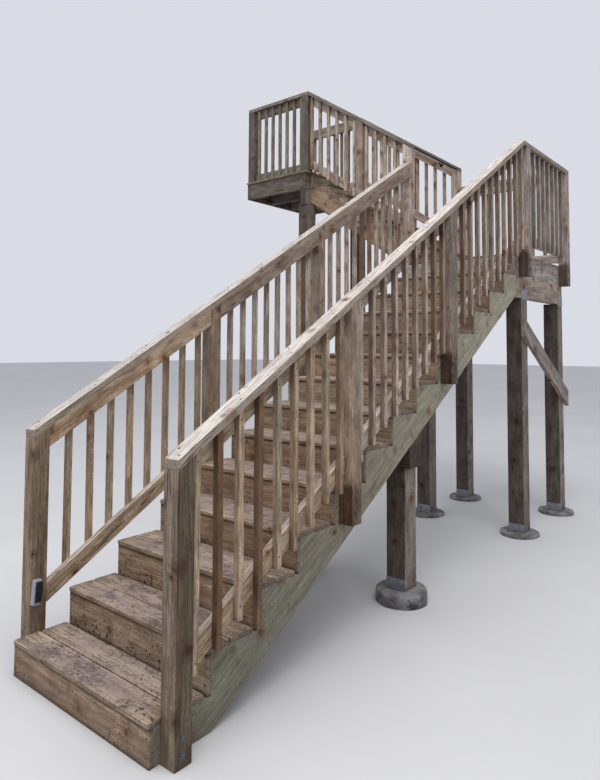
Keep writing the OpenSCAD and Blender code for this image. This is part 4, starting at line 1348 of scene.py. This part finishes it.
class DECKSTAIRS_OT_handrail(Undoable, bpy.types.Operator):
    """Round handrail on bent brackets"""

    bl_idname = "deck_stairs.handrail"
    bl_label = "Handrail"

    def execute(self, context):
        found = sorted(solids("black_handrail"), key=len)
        surface = Surface()
        pipe = max(found, key=lambda points: np.ptp(points[:, 1]))
        self.add_pipe(surface, pipe)
        for points in found:
            if points is not pipe:
                self.add_bracket(surface, points.min(0), points.max(0))
        surface.finish("black_handrail_pipe", "black", "black_metal",
                       ("black_handrail",), smooth=True)
        return {"FINISHED"}

    @staticmethod
    def add_pipe(surface, points):
        """A tube from ball to ball: its radius follows a circle's arc at each end."""
        low, high = points.min(0), points.max(0)
        radius = (high[0] - low[0]) / 2
        first = np.array([low[0] + radius, low[1] + radius, low[2] + radius])
        last = np.array([low[0] + radius, high[1] - radius, high[2] - radius])
        heading = (last - first) / np.linalg.norm(last - first)
        turn = np.radians(np.linspace(8, 90, 8))
        neck = 0.03 + np.array([0.0, 0.0, 0.002, 0.012, 0.014])
        start = np.concatenate([-radius * np.cos(turn), neck])
        wide = radius * np.concatenate([np.sin(turn), [1.0], np.full(4, 0.93)])
        length = np.linalg.norm(last - first)
        way = np.concatenate([start, length - start[::-1]])
        girth = np.concatenate([wide, wide[::-1]])
        surface.add(*swept(first + way[:, None] * heading, girth, 28))

    @staticmethod
    def add_bracket(surface, low, high):
        """A rod down from the pipe, round a quarter circle and into the post, where a
        round flange covers its end."""
        rod = (high[1] - low[1]) / 2
        top = np.array([low[0] + rod, (low[1] + high[1]) / 2, high[2]])
        corner = low[2] + rod
        bend = 3 * rod
        turn = np.linspace(0, np.pi / 2, 9)
        centre = np.array([top[0] + bend, top[1], corner + bend])
        arc = centre + bend * np.stack([-np.cos(turn), 0 * turn, -np.sin(turn)], 1)
        post_face = np.array([high[0], top[1], corner])
        surface.add(*swept(np.vstack([top, arc, post_face]), rod, 14))
        flange = ((0.022, 0.0), (0.022, 0.003), (0.018, 0.005), (rod * 0.9, 0.0055))
        heads = turned(flange, 20, post_face, [[-1.0, 0, 0]], 0.0)
        surface.add(heads[0].reshape(-1, 3), banded(len(flange), 20))


class DECKSTAIRS_OT_step_light(Undoable, bpy.types.Operator):
    """Small lamp on the first post"""

    bl_idname = "deck_stairs.step_light"
    bl_label = "Step light"

    def execute(self, context):
        axis, front, back, outline = as_prism(solids("step_light")[0])
        proud, deep = 0.0015, 0.004  # how far the cover stands out, and its depth
        surface = Surface()
        surface.add(*eased_prism((axis, front + proud, back, outline), 0.009, 7))
        surface.finish("step_light_body", "lamp", "lamp_white", ("step_light",))
        surface = Surface()
        cover = (axis, front, front + deep, self.cover(outline))
        surface.add(*eased_prism(cover, 0.0012, 4))
        surface.finish("step_light_cells", "cells", "lamp_panel")
        return {"FINISHED"}

    @staticmethod
    def cover(outline):
        """Outline of the dark cover, in shares of the front's height and width from its
        lower left corner. It reaches almost to the front's right edge."""
        by_height = outline[np.argsort(outline[:, 0])]
        left, right = sorted(by_height[:2], key=lambda corner: corner[1])
        top = min(by_height[2:], key=lambda corner: corner[1])
        shares = ((0.13, 0.16), (0.93, 0.16), (0.93, 0.985), (0.13, 0.985))
        return anticlockwise(np.array(
            [left + up * (top - left) + across * (right - left) for up, across in shares]))


class DECKSTAIRS_OT_stage(Undoable, bpy.types.Operator):
    """Plain floor, soft lights and the camera"""

    bl_idname = "deck_stairs.stage"
    bl_label = "Stage"

    def execute(self, context):
        stage = context.scene.deck_stairs_stage
        self.make_floor(stage)
        self.make_camera(context.scene, stage)
        self.make_lights(context.scene, stage)
        return {"FINISHED"}

    @staticmethod
    def make_floor(stage):
        material, w, shader = new_material("plain floor")
        soft = w.ramp(w.noise(w.place(), 0.6, 3.0), 0.3, 0.7, 0.97, 1.03)
        w.tree.links.new(w.tinted(stage.floor, w.grey(soft)), shader.inputs["Base Color"])
        shader.inputs["Roughness"].default_value = 0.9
        mesh = bpy.data.meshes.new("floor")
        reach = 60.0
        corners = [(x * reach, y * reach, 0)
                   for x, y in ((-1, -1), (1, -1), (1, 1), (-1, 1))]
        mesh.from_pydata(corners, [], [(0, 1, 2, 3)])
        mesh.materials.append(material)
        floor = bpy.data.objects.new("floor", mesh)
        bpy.context.scene.collection.objects.link(floor)

    @staticmethod
    def make_camera(scene, stage):
        """The camera looks along its heading and pitch; its right and up vectors are
        square to that and turned by the roll."""
        ahead = Vector((math.cos(stage.heading) * math.cos(stage.pitch),
                        math.sin(stage.heading) * math.cos(stage.pitch),
                        math.sin(stage.pitch)))
        right = Vector((math.sin(stage.heading), -math.cos(stage.heading), 0))
        up = right.cross(ahead)
        leaning = right * math.cos(stage.roll) + up * math.sin(stage.roll)
        standing = up * math.cos(stage.roll) - right * math.sin(stage.roll)
        turn = Matrix((leaning, standing, -ahead)).transposed().to_4x4()
        data = bpy.data.cameras.new("viewpoint")
        data.sensor_width = 36.0
        data.sensor_fit = "AUTO"
        data.lens = stage.lens
        data.shift_y = stage.drop
        data.clip_end = 200.0
        camera = bpy.data.objects.new("viewpoint", data)
        camera.matrix_world = Matrix.Translation(Vector(stage.eye)) @ turn
        scene.collection.objects.link(camera)
        scene.camera = camera

    @staticmethod
    def make_lights(scene, stage):
        world = bpy.data.worlds.new("even sky")
        world.use_nodes = True
        backdrop = world.node_tree.nodes["Background"]
        backdrop.inputs[0].default_value = (0.90, 0.92, 1.0, 1.0)
        backdrop.inputs[1].default_value = stage.sky
        scene.world = world
        scene.view_settings.view_transform = "Standard"
        colour, aim = (1.0, 0.99, 0.97), Vector((0.5, 0.3, 1.5))
        for name, power, size, place in (("key", stage.key, 9.0, (-3.5, -3.0, 11.0)),
                                         ("fill", stage.fill, 5.0, (-8.5, -1.0, 4.0))):
            data = bpy.data.lights.new(name, "AREA")
            data.energy, data.size, data.color = power, size, colour
            light = bpy.data.objects.new(name, data)
            light.location = place
            light.rotation_euler = (aim - Vector(place)).to_track_quat("-Z", "Y").to_euler()
            scene.collection.objects.link(light)


OPERATORS = (
    DECKSTAIRS_OT_stage, DECKSTAIRS_OT_stringers, DECKSTAIRS_OT_treads,
    DECKSTAIRS_OT_risers, DECKSTAIRS_OT_posts, DECKSTAIRS_OT_guards, DECKSTAIRS_OT_caps,
    DECKSTAIRS_OT_framing, DECKSTAIRS_OT_supports, DECKSTAIRS_OT_screws,
    DECKSTAIRS_OT_bolts, DECKSTAIRS_OT_steelwork, DECKSTAIRS_OT_footings,
    DECKSTAIRS_OT_handrail, DECKSTAIRS_OT_step_light,
)
SETTINGS = {
    "deck_stairs_boards": DeckStairsBoards, "deck_stairs_finish": DeckStairsFinish,
    "deck_stairs_fasteners": DeckStairsFasteners, "deck_stairs_stage": DeckStairsStage,
}


class DECKSTAIRS_PT_panel(bpy.types.Panel):
    """Lists the settings and the operators"""

    bl_idname = "DECKSTAIRS_PT_panel"
    bl_label = "Deck Stairs"
    bl_space_type = "VIEW_3D"
    bl_region_type = "UI"
    bl_category = "Deck Stairs"

    def draw(self, context):
        for name, kind in SETTINGS.items():
            box = self.layout.box()
            for key in kind.__annotations__:
                box.prop(getattr(context.scene, name), key)
        for operator in OPERATORS:
            self.layout.operator(operator.bl_idname)


def register():
    for name, kind in SETTINGS.items():
        bpy.utils.register_class(kind)
        setattr(bpy.types.Scene, name, bpy.props.PointerProperty(type=kind))
    for kind in OPERATORS + (DECKSTAIRS_PT_panel,):
        bpy.utils.register_class(kind)


def unregister():
    for kind in reversed(OPERATORS + (DECKSTAIRS_PT_panel,)):
        bpy.utils.unregister_class(kind)
    for name, kind in SETTINGS.items():
        delattr(bpy.types.Scene, name)
        bpy.utils.unregister_class(kind)


def main():
    """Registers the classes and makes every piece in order."""
    register()
    make_finishes()
    for operator in OPERATORS:
        group, name = operator.bl_idname.split(".")
        getattr(getattr(bpy.ops, group), name)()


if __name__ == "__main__":
    main()
